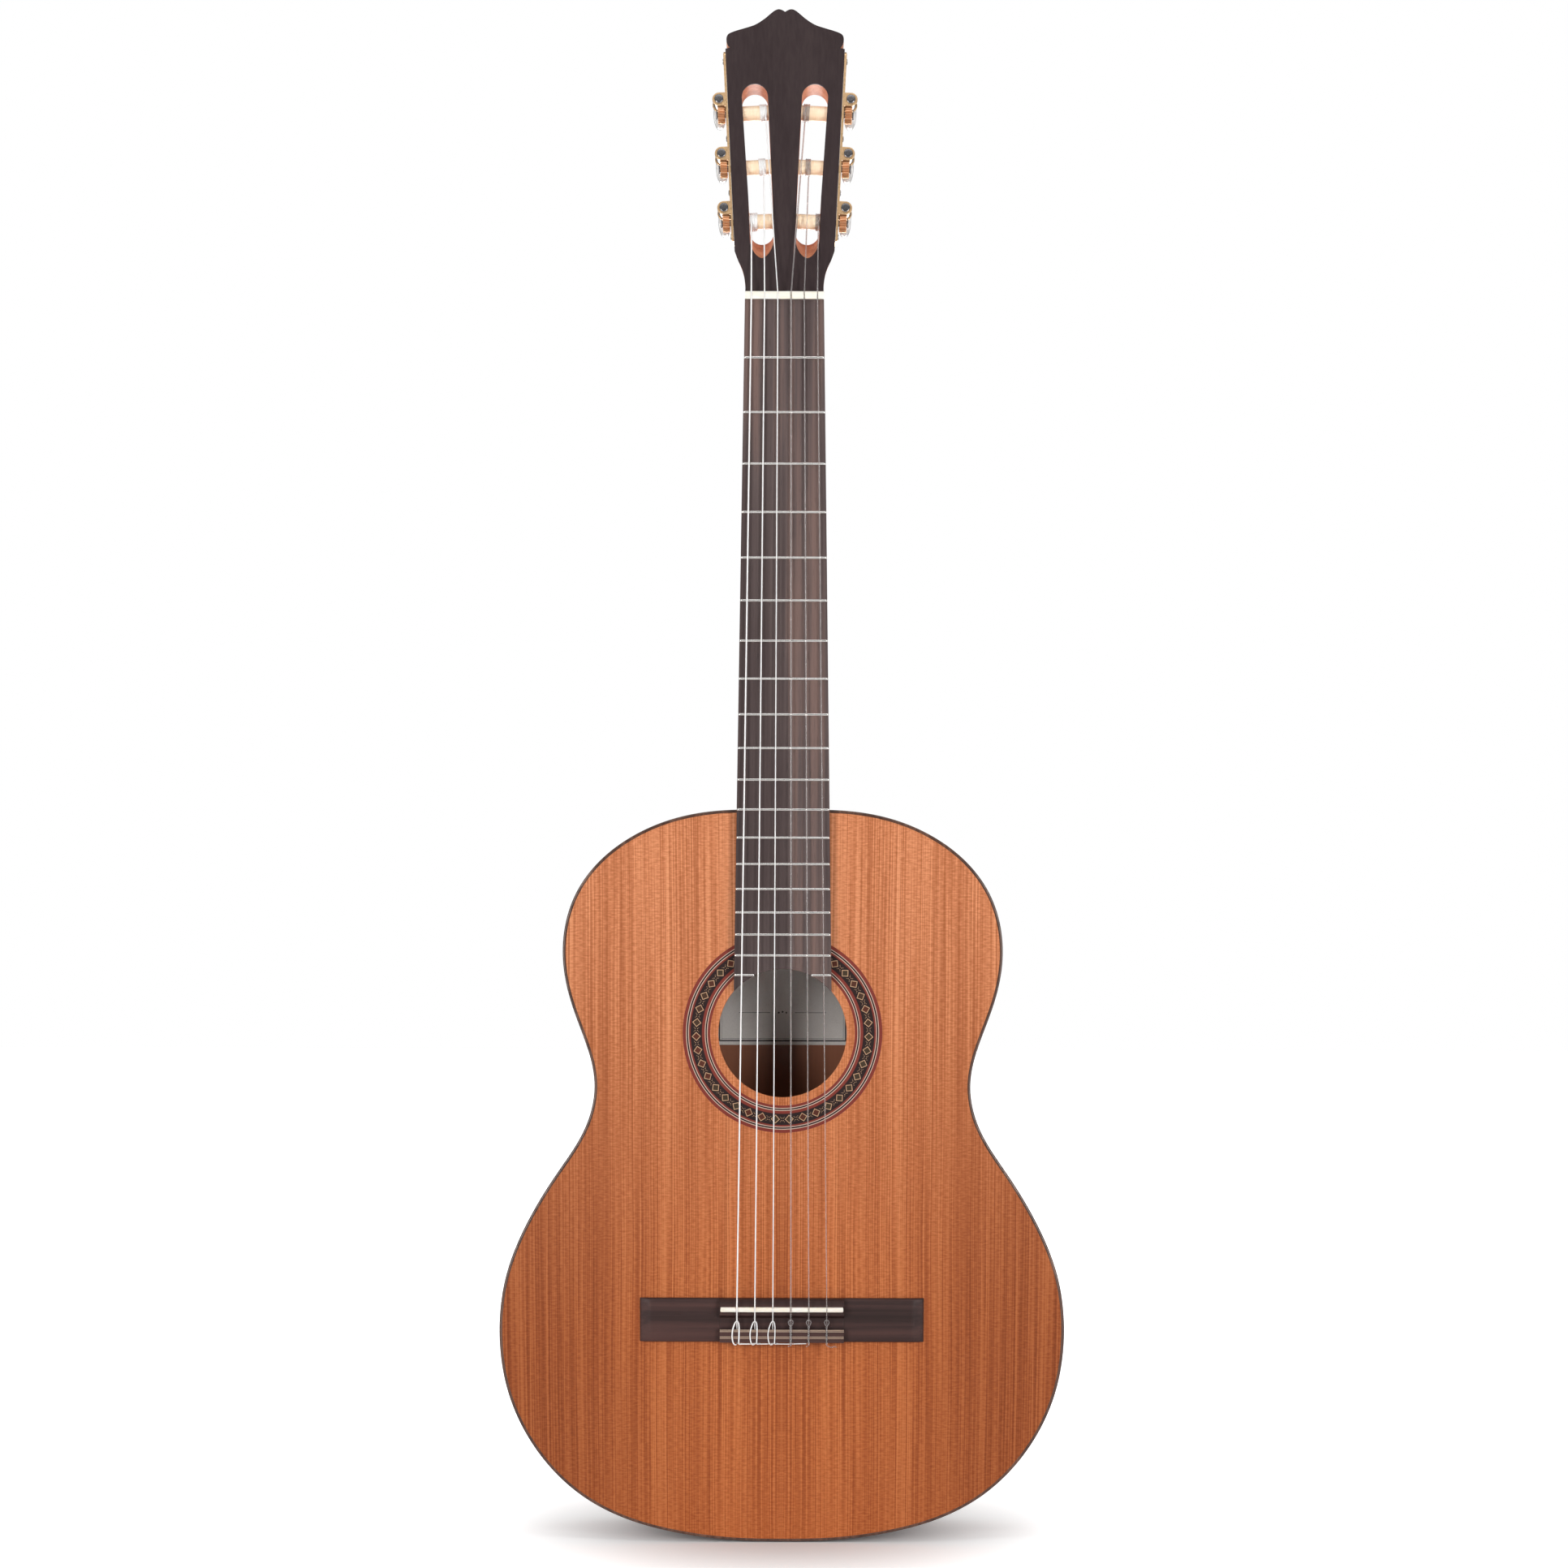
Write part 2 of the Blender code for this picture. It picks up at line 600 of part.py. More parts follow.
def slot_outline(deep):
    """A slot's outline at a depth. The face shows a pointed scoop, the back a round end."""
    share = deep / HEAD_THICK
    (low_in, high_in), (low_out, high_out) = SLOT_INNER_X, SLOT_OUTER_X
    middle, radius = (high_in + high_out) / 2, (high_out - high_in) / 2
    points = []
    for i in range(9):                        # round upper end, inner edge to outer edge
        th = math.pi - math.pi * i / 8
        points.append((middle + radius * math.cos(th), SLOT_UP[1] + radius * math.sin(th)))
    points += slot_edge(SLOT_OUTER_X, (0.66, 0.33))
    middle, radius = (low_in + low_out) / 2, (low_out - low_in) / 2
    for i in range(11):                       # lower end, outer edge to inner edge
        th = math.pi * i / 10
        c, s = math.cos(th), math.sin(th)
        x_face = middle + radius * signed_power(c, SCOOP_POWER)
        up_face = SLOT_UP[0] - (SLOT_UP[0] - SLOT_TIP_UP) * s ** SCOOP_POWER
        up_back = SLOT_BACK_UP - SLOT_BACK_ROUND * s
        points.append((mix(x_face, middle + radius * c, share), mix(up_face, up_back, share)))
    return points + slot_edge(SLOT_INNER_X, (0.33, 0.66))


def roller_along(i):
    """A roller's place along the head's side."""
    return ((ROLLER_UP[i] - SIDE_UP0 - ROLLER_CENTRE_IN * math.sin(SIDE_TILT))
            / math.cos(SIDE_TILT))


def roller_reach(i):
    """How far a roller reaches in from the head's side: 4 mm into the middle wall."""
    inner = SLOT_INNER_X[0] + ((SLOT_INNER_X[1] - SLOT_INNER_X[0])
                               * (ROLLER_UP[i] - SLOT_UP[0]) / (SLOT_UP[1] - SLOT_UP[0]))
    return SIDE_X0 + roller_along(i) * math.sin(SIDE_TILT) - inner + 4.0


def turned(side, along, deep, profile, count):
    """A turned piece about an axis out of the side: profile is (out, radius) pairs."""
    rings = []
    for out, r in profile:
        if r == 0:
            rings.append([tuner_point(side, out, along, deep)])
        else:
            rings.append([tuner_point(side, out, along + r * math.cos(th), deep + r * math.sin(th))
                          for th in angles(count)])
    return loft(rings)


def slotted_head(name, deep0, deep1, finish):
    """One layer of the head, cut by both slots."""
    outline = mirrored([(HEAD_FOOT_HALF, HEAD_FOOT_UP)] + HEAD_PLAN)
    layer = make(name, loft([[head_point(x, up, deep) for x, up in outline]
                             for deep in (deep0, deep1)]), finish)
    for side in SIDES:
        slot = loft([[head_point(side * x, up, deep) for x, up in slot_outline(deep)]
                     for deep in (-3.0, HEAD_THICK + 3.0)])
        boolean(layer, [slot])
    return layer


def build_head():
    headstock = slotted_head("headstock", VENEER_THICK + GAP, HEAD_THICK, "neck_wood")
    slotted_head("headstock_veneer", 0.0, VENEER_THICK, "ebonised")
    bore_r = ROLLER_R + 0.35
    holes = [turned(side, roller_along(i), ROLLER_DEEP,
                    [(-roller_reach(i) - 0.3, bore_r), (3, bore_r)], 12)
             for side in SIDES for i in range(3)]
    boolean(headstock, [join(holes)])


# ------------------------------------------------------------------ tuning machines
WORM_OUT = 5.6          # worm axis out from the head's side
GEAR_TEETH = 14
GEAR_PITCH_R = 5.1
WORM_PITCH_R = 3.3
AXIS_GAP = GEAR_PITCH_R + WORM_PITCH_R
WORM_PITCH = 2 * math.pi * GEAR_PITCH_R / GEAR_TEETH
BACKLASH = 0.3
TOOTH_HALF = (WORM_PITCH / 2 - BACKLASH) / 2    # half a tooth's thickness at the pitch line
FLANK_SLOPE = math.tan(math.radians(20))
ADDENDUM = 0.5
WORM_DEDENDUM, GEAR_DEDENDUM = 0.7, 0.65
POST_BORE_R = 2.65      # bore for the roller's post, in plate and gear
GEAR_OUT = (2.2, 6.8)   # the gear's two faces

PLATE_OUT = (0.3, 1.3)
PLATE_ALONG = (7.5, 131.5)
PLATE_DEEP = (0.8, 15.8)
PLATE_CORNER = 3.0      # chamfer at the corners
LUG_DEEP = ((1.0, 3.0), (11.4, 13.4))
LUG_FOOT_OUT = 0.7      # sunk into the plate
LUG_R, SHAFT_BORE_R = 4.3, 2.3
SCREW_DEEP = 8.3
SCREW_HEAD = [(0.9, 1.9), (1.9, 1.9), (2.2, 1.3)]       # out, radius

WORM_COLUMNS = 10
WORM_TURNS = 3
WORM_REAR_JOURNAL = 11.1
# plain parts of the worm shaft: deep, radius
WORM_FRONT = ((-0.1, 2.8), (0.7, 2.9), (0.7, 1.9), (3.3, 1.9))
WORM_REAR = ((WORM_REAR_JOURNAL, 1.9), (13.7, 1.9), (13.7, 3.4), (15.6, 3.2), (15.6, 1.9),
             (25.5, 1.9))

# button, from the bottom of its socket: deep, radius along the side, radius outward, roundness
BUTTON_STATIONS = (
    (26.0, 2.25, 2.25, 1.0), (20.0, 2.25, 2.25, 1.0), (20.0, 3.0, 3.0, 1.0),
    (20.8, 3.5, 3.4, 0.85), (22.6, 6.2, 3.6, 0.85), (25.5, 8.3, 3.9, 0.85),
    (29.5, 9.2, 4.0, 0.85), (33.5, 8.4, 3.8, 0.85), (36.4, 6.0, 3.2, 0.85),
    (38.0, 2.8, 1.8, 1.0),
)


def worm_along(i):
    return roller_along(i) + AXIS_GAP


def lug(side, along, deep0, deep1):
    """D-shaped ear that carries the worm shaft."""
    outline = [(LUG_FOOT_OUT, along - LUG_R)]
    for k in range(7):
        th = math.pi * k / 6
        outline.append((WORM_OUT + LUG_R * math.sin(th), along - LUG_R * math.cos(th)))
    outline.append((LUG_FOOT_OUT, along + LUG_R))
    return loft([[tuner_point(side, out, place, deep) for out, place in outline]
                 for deep in (deep0, deep1)])


def shaft_bore(side, along):
    return loft([[tuner_point(side, WORM_OUT + SHAFT_BORE_R * math.cos(th),
                              along + SHAFT_BORE_R * math.sin(th), deep)
                  for th in angles(8)] for deep in (-2.0, 17.0)])


def build_tuner_plate(name, side):
    start, end = PLATE_ALONG
    top, bottom = PLATE_DEEP
    c = PLATE_CORNER
    plan = [(start, top + c), (start + c, top), (end - c, top), (end, top + c),
            (end, bottom - c), (end - c, bottom), (start + c, bottom), (start, bottom - c)]
    plate = make(name, loft([[tuner_point(side, out, along, deep) for along, deep in plan]
                             for out in PLATE_OUT]), "gold")
    lugs = [lug(side, worm_along(i), *deeps) for i in range(3) for deeps in LUG_DEEP]
    screw_places = [start + 4.5]
    for i in (0, 1):
        screw_places.append((roller_along(i) + roller_along(i + 1)) / 2 + 2.5)
    screw_places.append(end - 4.5)
    screws = [turned(side, along, SCREW_DEEP, SCREW_HEAD, 6) for along in screw_places]
    boolean(plate, [join(lugs)], "UNION")
    boolean(plate, [join(screws)], "UNION")
    bores = []
    for i in range(3):
        bores.append(turned(side, roller_along(i), ROLLER_DEEP,
                            [(-2, POST_BORE_R), (3, POST_BORE_R)], 10))
        bores.append(shaft_bore(side, worm_along(i)))
    boolean(plate, [join(bores)])


def build_worm(side, i, name):
    """Worm shaft: front boss, journal, thread, journal, rear collar and the button's stem."""
    along = worm_along(i)
    columns = WORM_COLUMNS
    crest_r, root_r = WORM_PITCH_R + ADDENDUM, WORM_PITCH_R - WORM_DEDENDUM
    half_tip = TOOTH_HALF - ADDENDUM * FLANK_SLOPE
    half_root = TOOTH_HALF + WORM_DEDENDUM * FLANK_SLOPE
    # column 0 points at the gear
    column_angles = [th - math.pi / 2 for th in angles(columns)]
    verts, faces = [], []

    def put(r, th, deep):
        verts.append(tuner_point(side, WORM_OUT + r * math.cos(th), along + r * math.sin(th),
                                 deep))
        return len(verts) - 1

    def ring(deep, r):
        return [put(r, th, deep) for th in column_angles]

    def skin(rings):
        for a, b in zip(rings, rings[1:]):
            for k in range(columns):
                k2 = (k + 1) % columns
                faces.append((a[k], a[k2], b[k2], b[k]))

    front = [ring(*station) for station in WORM_FRONT]
    faces.append(tuple(front[0]))
    skin(front)

    # thread: crests lie half a pitch to each side of the gear's middle; column 0 has one
    # turn more, because the last column joins it a turn further on
    thread_start = ROLLER_DEEP - WORM_TURNS / 2 * WORM_PITCH
    tooth = ((-half_root, root_r), (-half_tip, crest_r), (half_tip, crest_r), (half_root, root_r))
    grid = []
    for k, th in enumerate(column_angles):
        column = []
        for turn in range(WORM_TURNS + (1 if k == 0 else 0)):
            middle = thread_start + (turn + k / columns) * WORM_PITCH
            column += [put(r, th, middle + offset) for offset, r in tooth]
        grid.append(column)
    rows = 4 * WORM_TURNS
    for a, b in zip(grid, grid[1:] + [grid[0][4:]]):
        for q in range(rows - 1):
            faces.append((a[q], b[q], b[q + 1], a[q + 1]))

    # close the thread's ends onto the journals
    rear = [ring(*station) for station in WORM_REAR]
    low, high = front[-1], rear[0]
    for k in range(columns - 1):
        faces.append((low[k], low[k + 1], grid[k + 1][0], grid[k][0]))
        faces.append((high[k], high[k + 1], grid[k + 1][rows - 1], grid[k][rows - 1]))
    faces.append((low[-1], low[0], grid[0][4], grid[-1][0]))
    faces.append((high[-1], high[0], grid[0][rows + 3], grid[-1][rows - 1]))
    for q in range(4):
        faces.append((low[0], grid[0][q], grid[0][q + 1]))
        faces.append((high[0], grid[0][rows - 1 + q], grid[0][rows + q]))
    skin(rear)
    faces.append(tuple(rear[-1]))
    origin = tuner_point(side, WORM_OUT, along, ROLLER_DEEP)
    make(name, (verts, faces), "steel", origin=origin, smooth=True)


def build_gear(side, i, name):
    """Worm wheel with helical straight-sided teeth; at rest a tooth stands between two crests."""
    along = roller_along(i)
    tip_r, root_r = GEAR_PITCH_R + ADDENDUM, GEAR_PITCH_R - GEAR_DEDENDUM
    half_tip = (TOOTH_HALF - ADDENDUM * FLANK_SLOPE) / tip_r
    half_root = (TOOTH_HALF + GEAR_DEDENDUM * FLANK_SLOPE) / root_r
    tooth = ((-half_root, root_r), (-half_tip, tip_r), (half_tip, tip_r), (half_root, root_r))
    twist = WORM_PITCH / (2 * math.pi * WORM_PITCH_R) / GEAR_PITCH_R
    verts, faces, rim, bore = [], [], [], []

    def put(r, th, out):
        verts.append(tuner_point(side, out, along + r * math.cos(th),
                                 ROLLER_DEEP + r * math.sin(th)))
        return len(verts) - 1

    for out in GEAR_OUT:
        teeth, eye = [], []
        for k in range(GEAR_TEETH):
            middle = k * 2 * math.pi / GEAR_TEETH + twist * (out - WORM_OUT)
            teeth += [put(r, middle + offset, out) for offset, r in tooth]
            eye.append(put(POST_BORE_R, middle, out))
        rim.append(teeth)
        bore.append(eye)
    count = 4 * GEAR_TEETH
    for k in range(count):
        k2 = (k + 1) % count
        faces.append((rim[0][k], rim[0][k2], rim[1][k2], rim[1][k]))
    for k in range(GEAR_TEETH):
        k2 = (k + 1) % GEAR_TEETH
        faces.append((bore[0][k], bore[0][k2], bore[1][k2], bore[1][k]))
        for edge, eye in zip(rim, bore):
            root0, tip0, tip1, root1 = edge[4 * k:4 * k + 4]
            faces.append((eye[k], tip0, tip1, root1))
            faces.append((eye[k], root0, tip0))
            faces.append((eye[k], root1, edge[(4 * k + 4) % count], eye[k2]))
    origin = tuner_point(side, WORM_OUT, along, ROLLER_DEEP)
    make(name, (verts, faces), "gold", origin=origin)


def build_roller(side, i, name):
    """String roller, its post through the plate, and the screw that keeps the gear on."""
    along, reach = roller_along(i), roller_reach(i)
    profile = [(-reach, 0), (-reach, ROLLER_R), (-0.2, ROLLER_R), (-0.2, 2.3), (7.1, 2.3),
               (7.1, 3.1), (7.7, 2.9), (8.0, 2.0), (8.0, 0)]
    make(name, turned(side, along, ROLLER_DEEP, profile, 14), "roller",
         origin=tuner_point(side, WORM_OUT, along, ROLLER_DEEP), smooth=True)


def build_button(side, i, name):
    """Tuner button: a flattened rounded paddle with a blind socket for the shaft."""
    along = worm_along(i)
    rings = [[tuner_point(side, WORM_OUT + r_out * signed_power(math.cos(th), power),
                          along + r_along * signed_power(math.sin(th), power), deep)
              for th in angles(12)] for deep, r_along, r_out, power in BUTTON_STATIONS]
    make(name, loft(rings), "pearl",
         origin=tuner_point(side, WORM_OUT, along, ROLLER_DEEP), smooth=True)


# ------------------------------------------------------------------ fingerboard, frets, nut
FRET_COUNT = 19
BOARD_END_DROP = 444    # where the width of the fingerboard's end is taken
SLOT_HALF = 0.4         # half width of a fret slot
SLOT_Y = (BOARD_TOP - 2, BOARD_TOP + 2.8)       # the slot cutters' reach
RAIL_X = 22.0           # two rails along the board join the frets' tangs


def fret_drop(n):
    return SCALE_LENGTH * (1 - 2 ** (-n / 12))


FIRST_FRET_Z = NUT_Z - fret_drop(1)
LAST_FRET_Z = NUT_Z - fret_drop(FRET_COUNT)


def build_fingerboard():
    """Tapered board whose lower end follows the soundhole."""
    end_drop = HOLE_DROP - math.sqrt(HOLE_R ** 2 - board_half(BOARD_END_DROP) ** 2)
    half_angle = math.asin(board_half(end_drop) / HOLE_R)
    plan = [(-NUT_WIDTH / 2, NUT_Z - GAP), (NUT_WIDTH / 2, NUT_Z - GAP)]
    for k in range(17):
        th = half_angle - 2 * half_angle * k / 16
        plan.append((HOLE_R * math.sin(th), HOLE_Z + HOLE_R * math.cos(th)))
    board = make("fingerboard", prism_xz(plan, BOARD_TOP, BOARD_UNDER), "rosewood")
    slots = []
    for n in range(1, FRET_COUNT + 1):
        z = NUT_Z - fret_drop(n)
        slots.append(box(-40, 40, *SLOT_Y, z - SLOT_HALF, z + SLOT_HALF))
    boolean(board, [join(slots)])
    rail_slots = [box(side * RAIL_X - 0.5, side * RAIL_X + 0.5, *SLOT_Y,
                      LAST_FRET_Z - SLOT_HALF, FIRST_FRET_Z + SLOT_HALF) for side in SIDES]
    boolean(board, [join(rail_slots)])


def fret_wire(x0, x1, drop):
    """Fret wire with a flat-topped crown and a tang."""
    z = NUT_Z - drop
    y = BOARD_TOP - 0.1
    section = [(-0.25, y + 2.5), (-0.25, y), (-1.1, y), (-0.55, y - 1.0),
               (0.55, y - 1.0), (1.1, y), (0.25, y), (0.25, y + 2.5)]
    return prism_yz([(level, z + dz) for dz, level in section], x0, x1)


def build_frets():
    wires = []
    for n in range(1, FRET_COUNT + 1):
        drop = fret_drop(n)
        half = board_half(drop) - 0.2
        if n == FRET_COUNT:                   # the soundhole splits the last fret
            cut = math.sqrt(HOLE_R ** 2 - (HOLE_DROP - drop) ** 2) + 0.8
            wires += [fret_wire(cut, half, drop), fret_wire(-half, -cut, drop)]
        else:
            wires.append(fret_wire(-half, half, drop))
    frets = make("frets", join(wires), "nickel")
    rails = [box(side * RAIL_X - 0.25, side * RAIL_X + 0.25, BOARD_TOP + 0.4, BOARD_TOP + 2.2,
                 LAST_FRET_Z, FIRST_FRET_Z) for side in SIDES]
    boolean(frets, [join(rails)], "UNION")


def string_x(s, spread):
    return (3.5 - s) / 5.0 * spread


def build_nut():
    outline = [(-0.3, NUT_Z + 0.05), (-9.4, NUT_Z + 0.05), (-8.9, NUT_Z + 3.5),
               (-8.0, NUT_Z + NUT_THICK), (-0.3, NUT_Z + NUT_THICK)]
    nut = make("nut", prism_yz(outline, -NUT_WIDTH / 2, NUT_WIDTH / 2), "bone")
    floor = NUT_STRING_Y + 0.15
    grooves = []
    for s in range(1, 7):
        x, half = string_x(s, NUT_SPREAD), STRING_R[s] + 0.15
        # the floor falls toward the head
        grooves.append(loft([[world(x - half, -12, z), world(x + half, -12, z),
                              world(x + half, y, z), world(x - half, y, z)]
                             for y, z in ((floor, NUT_Z - 1), (floor + 1.2, NUT_Z + 7))]))
    boolean(nut, [join(grooves)])


# ------------------------------------------------------------------ bridge
BRIDGE_HALF, BRIDGE_MID_HALF = 95.0, 41.5
BRIDGE_MID_END_DROP = 677.8
TIE_BLOCK_DROP = 668.9  # the tie block's upper edge
BRIDGE_TIP = 6.7        # length of the thinned wing tips
SADDLE_Z = NUT_Z - SADDLE_DROP
# middle part of the bridge: y, drop
BRIDGE_MID = (
    (-GAP - 0.05, 648.5), (-6.2, 648.5), (-8.4, 650.6), (-8.4, 659.3), (-4.6, 661.2),
    (-4.6, TIE_BLOCK_DROP), (-7.4, TIE_BLOCK_DROP), (-7.4, BRIDGE_MID_END_DROP),
    (-GAP - 0.05, BRIDGE_MID_END_DROP),
)


def build_bridge():
    top, end = NUT_Z - BRIDGE_TOP_DROP, NUT_Z - BRIDGE_END_DROP
    tip_x = BRIDGE_HALF - BRIDGE_TIP
    rings = []
    for x, high in ((-BRIDGE_HALF, 1.6), (-tip_x, 4.0), (tip_x, 4.0), (BRIDGE_HALF, 1.6)):
        section = ((-GAP, top), (-high * 0.8, top), (-high, top - 3),
                   (-high, end + 3), (-high * 0.8, end), (-GAP, end))
        rings.append([world(x, y, z) for y, z in section])
    bridge = make("bridge", loft(rings), "rosewood")
    middle = prism_yz([(y, NUT_Z - drop) for y, drop in BRIDGE_MID],
                      -BRIDGE_MID_HALF, BRIDGE_MID_HALF)
    boolean(bridge, [middle], "UNION")
    half = SADDLE_THICK / 2
    saddle_slot = box(-41.3, 41.3, -20, -4.6, SADDLE_Z - half - 0.2, SADDLE_Z + half + 0.2)
    boolean(bridge, [saddle_slot])
    tie_holes = [tube(world(string_x(s, SADDLE_SPREAD), TIE_HOLE_Y, NUT_Z - 660.5),
                      (0, 0, -1), 0.95 * MM, 25 * MM, 10) for s in range(1, 7)]
    boolean(bridge, [join(tie_holes)])


def build_saddle():
    half, shoulder = SADDLE_THICK / 2, SADDLE_TOP + 0.7
    outline = [(-4.8, SADDLE_Z - half), (-4.8, SADDLE_Z + half), (shoulder, SADDLE_Z + half),
               (SADDLE_TOP, SADDLE_Z + 0.4), (SADDLE_TOP, SADDLE_Z - 0.6),
               (shoulder, SADDLE_Z - half)]
    make("saddle", prism_yz(outline, -41.0, 41.0), "bone")


def build_tie_block_cap():
    make("tie_block_cap", box(-BRIDGE_MID_HALF, BRIDGE_MID_HALF, -8.5, -7.5,
                              NUT_Z - BRIDGE_MID_END_DROP, NUT_Z - TIE_BLOCK_DROP), "bone")


# ------------------------------------------------------------------ strings
def build_string(s):
    """From the tie hole over the saddle and the nut to the front of its roller."""
    r = STRING_R[s]
    side, i, x_end = STRING_ROLLER[s]
    x_saddle, x_nut = string_x(s, SADDLE_SPREAD), string_x(s, NUT_SPREAD)
    y_saddle = SADDLE_TOP - 0.15 - r
    y_nut = NUT_STRING_Y - r
    path = [
        world(x_saddle, TIE_HOLE_Y, NUT_Z - 679.5),
        world(x_saddle, TIE_HOLE_Y, NUT_Z - 669.5),
        world(x_saddle, y_saddle, NUT_Z - (SADDLE_DROP + 0.4)),
        world(x_saddle, y_saddle, NUT_Z - (SADDLE_DROP - 0.4)),
        world(x_nut, y_nut, NUT_Z + 0.5),
        world(x_nut, y_nut + 0.35, NUT_Z + 3.2),
        head_point(side * x_end, ROLLER_UP[i], ROLLER_DEEP - ROLLER_R - 0.3 - r),
    ]
    steps = [(b - a).normalized() for a, b in zip(path, path[1:])]
    rings = []
    for point, arriving, leaving in zip(path, steps[:1] + steps, steps + steps[-1:]):
        direction = (arriving + leaving).normalized()
        across = Vector((1, 0, 0)) - direction * direction.x
        across.normalize()
        square = direction.cross(across)
        rings.append([point + (across * math.cos(th) + square * math.sin(th)) * r * MM
                      for th in angles(8)])
    make("string_%d" % s, loft(rings), "wound" if s > 3 else "nylon", smooth=True)


# ------------------------------------------------------------------ assembly
for old in list(bpy.data.objects):
    bpy.data.objects.remove(old, do_unlink=True)

build_soundboard()
build_bindings()
build_rib("rib_treble", 1)
build_rib("rib_bass", -1)
build_back_plate()
build_linings()
build_block("neck_block", 30.0, 441.0, BODY_LENGTH - 9.2, BODY_LENGTH - 3.0)
build_block("tail_block", 28.0, 20.0, 9.8, 3.4)
for bar_name, bar in CROSS_BARS.items():
    build_cross_bar(bar_name, *bar)
build_fan_bracing()
build_label()

build_neck()
build_heel_cap()
build_head()
build_tuner_plate("tuner_plate_bass", -1)
build_tuner_plate("tuner_plate_treble", 1)
for number in range(6, 0, -1):
    machine_side, place, _ = STRING_ROLLER[number]
    build_button(machine_side, place, "tuner_button_%d" % number)
    build_worm(machine_side, place, "worm_shaft_%d" % number)
    build_gear(machine_side, place, "worm_gear_%d" % number)
    build_roller(machine_side, place, "string_roller_%d" % number)

build_fingerboard()
build_frets()
build_nut()
build_bridge()
build_saddle()
build_tie_block_cap()
for number in range(6, 0, -1):
    build_string(number)
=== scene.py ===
"""Looks of the classical guitar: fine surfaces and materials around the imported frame.

Working units are millimetres in the guitar's own frame: x to the treble side, y from front to
back measured from the soundboard's face, z up from the tail. W() gives the point in metres.
"""
import math

import bpy
import bmesh
import numpy as np
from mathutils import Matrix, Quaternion, Vector
from mathutils.geometry import tessellate_polygon


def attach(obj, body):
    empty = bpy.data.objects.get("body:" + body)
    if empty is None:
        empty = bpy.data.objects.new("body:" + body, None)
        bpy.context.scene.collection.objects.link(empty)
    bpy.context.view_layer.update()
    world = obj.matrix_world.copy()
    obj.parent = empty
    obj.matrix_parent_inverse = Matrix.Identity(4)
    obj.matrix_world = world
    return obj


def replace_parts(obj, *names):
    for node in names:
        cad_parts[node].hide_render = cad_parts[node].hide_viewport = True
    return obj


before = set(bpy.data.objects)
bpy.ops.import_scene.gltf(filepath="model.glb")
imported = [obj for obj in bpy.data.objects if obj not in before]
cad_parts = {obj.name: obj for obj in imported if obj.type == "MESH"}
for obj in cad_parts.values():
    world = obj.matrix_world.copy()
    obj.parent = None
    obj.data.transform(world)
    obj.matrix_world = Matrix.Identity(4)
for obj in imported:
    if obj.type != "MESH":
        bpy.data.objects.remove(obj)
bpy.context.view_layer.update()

# ------------------------------------------------------------------ dimensions (mm)
MM = 0.001
Y_MID = 43.5
SCALE_LENGTH = 650.0
BODY_LENGTH = 489.5
NUT_Z = BODY_LENGTH + SCALE_LENGTH / 2
NUT_THICK, NUT_WIDTH, BOARD_WIDTH_12 = 5.0, 51.0, 61.0
BOARD_TOP = -7.0
FRET_COUNT = 19
TOP_THICK, BACK_THICK, RIB_THICK, BINDING_HIGH = 2.5, 2.5, 2.0, 6.0
DEPTH_MAX, BACK_ARCH_R = 100.5, 4600.0
HOLE_R, HOLE_Z = 42.5, NUT_Z - 471.6
ROSETTE_R0, ROSETTE_R1 = 48.0, 66.2
PLAN = [(0, 0), (44, 0.8), (76, 7.2), (98, 16.8), (120, 32.8), (137, 55.5), (145.6, 96.5),
        (139.5, 129), (125, 182), (131, 209), (151.5, 242), (171, 274.5), (185, 310),
        (189.5, 347), (183.5, 389.5), (168, 423), (138, 456), (108.5, 472.8), (74, 483),
        (34.5, 488.5), (0, 489.5)]
PLAN_STEPS = 210
BRIDGE_U0, BRIDGE_U1, BRIDGE_HALF, BRIDGE_MID_HALF = 648.4, 677.9, 95.0, 41.5
SADDLE_U, SADDLE_THICK, SADDLE_TOP = 655.2, 3.2, -12.3
TIE_HOLE_Y, TIE_BLOCK_U0 = -5.7, 668.9
HEAD_ANGLE = math.radians(10.0)
FACE_Y, HEAD_THICK, VENEER_THICK = -1.8, 20.0, 1.2
HEAD_PLAN = [(25.3, 0.7), (25.3, 5), (25.7, 8), (26.2, 11), (27.1, 14.3), (28.4, 17.5), (30, 20.7), (32.3, 27),
             (38.65, 159.2), (35.4, 160), (37, 161.6), (38.0, 165.7), (37, 168.6), (34.1, 170.2),
             (30.4, 171.5), (25.3, 173), (19.3, 175.1), (13.5, 178.8), (9, 182.6), (6.6, 184.4),
             (4.3, 185.2), (2.2, 184.8), (0, 183.5)]
SIDE_X0, SIDE_T0 = 32.3, 27.0
SIDE_TILT = math.atan((38.65 - 32.3) / (159.2 - 27.0))
ROLLER_T, ROLLER_N, ROLLER_R = (48.4, 83.9, 119.4), 7.2, 4.8
WORM_A, GEAR_TEETH, GEAR_PITCH_R, WORM_PITCH_R = 5.6, 14, 5.1, 3.3
CENTRE = GEAR_PITCH_R + WORM_PITCH_R
WORM_PITCH = 2 * math.pi * GEAR_PITCH_R / GEAR_TEETH
BACKLASH = 0.3
STRING_R = {6: 0.52, 5: 0.44, 4: 0.37, 3: 0.50, 2: 0.41, 1: 0.36}
NUT_SPREAD, SADDLE_SPREAD = 42.6, 60.0
STRING_ROLLER = {6: (-1, 0, 21.4), 5: (-1, 1, 13.6), 4: (-1, 2, 12.8),
                 3: (1, 2, 13.4), 2: (1, 1, 15.6), 1: (1, 0, 21.8)}
SLOT_IN = ((7.0, 34.2), (11.0, 127.9))
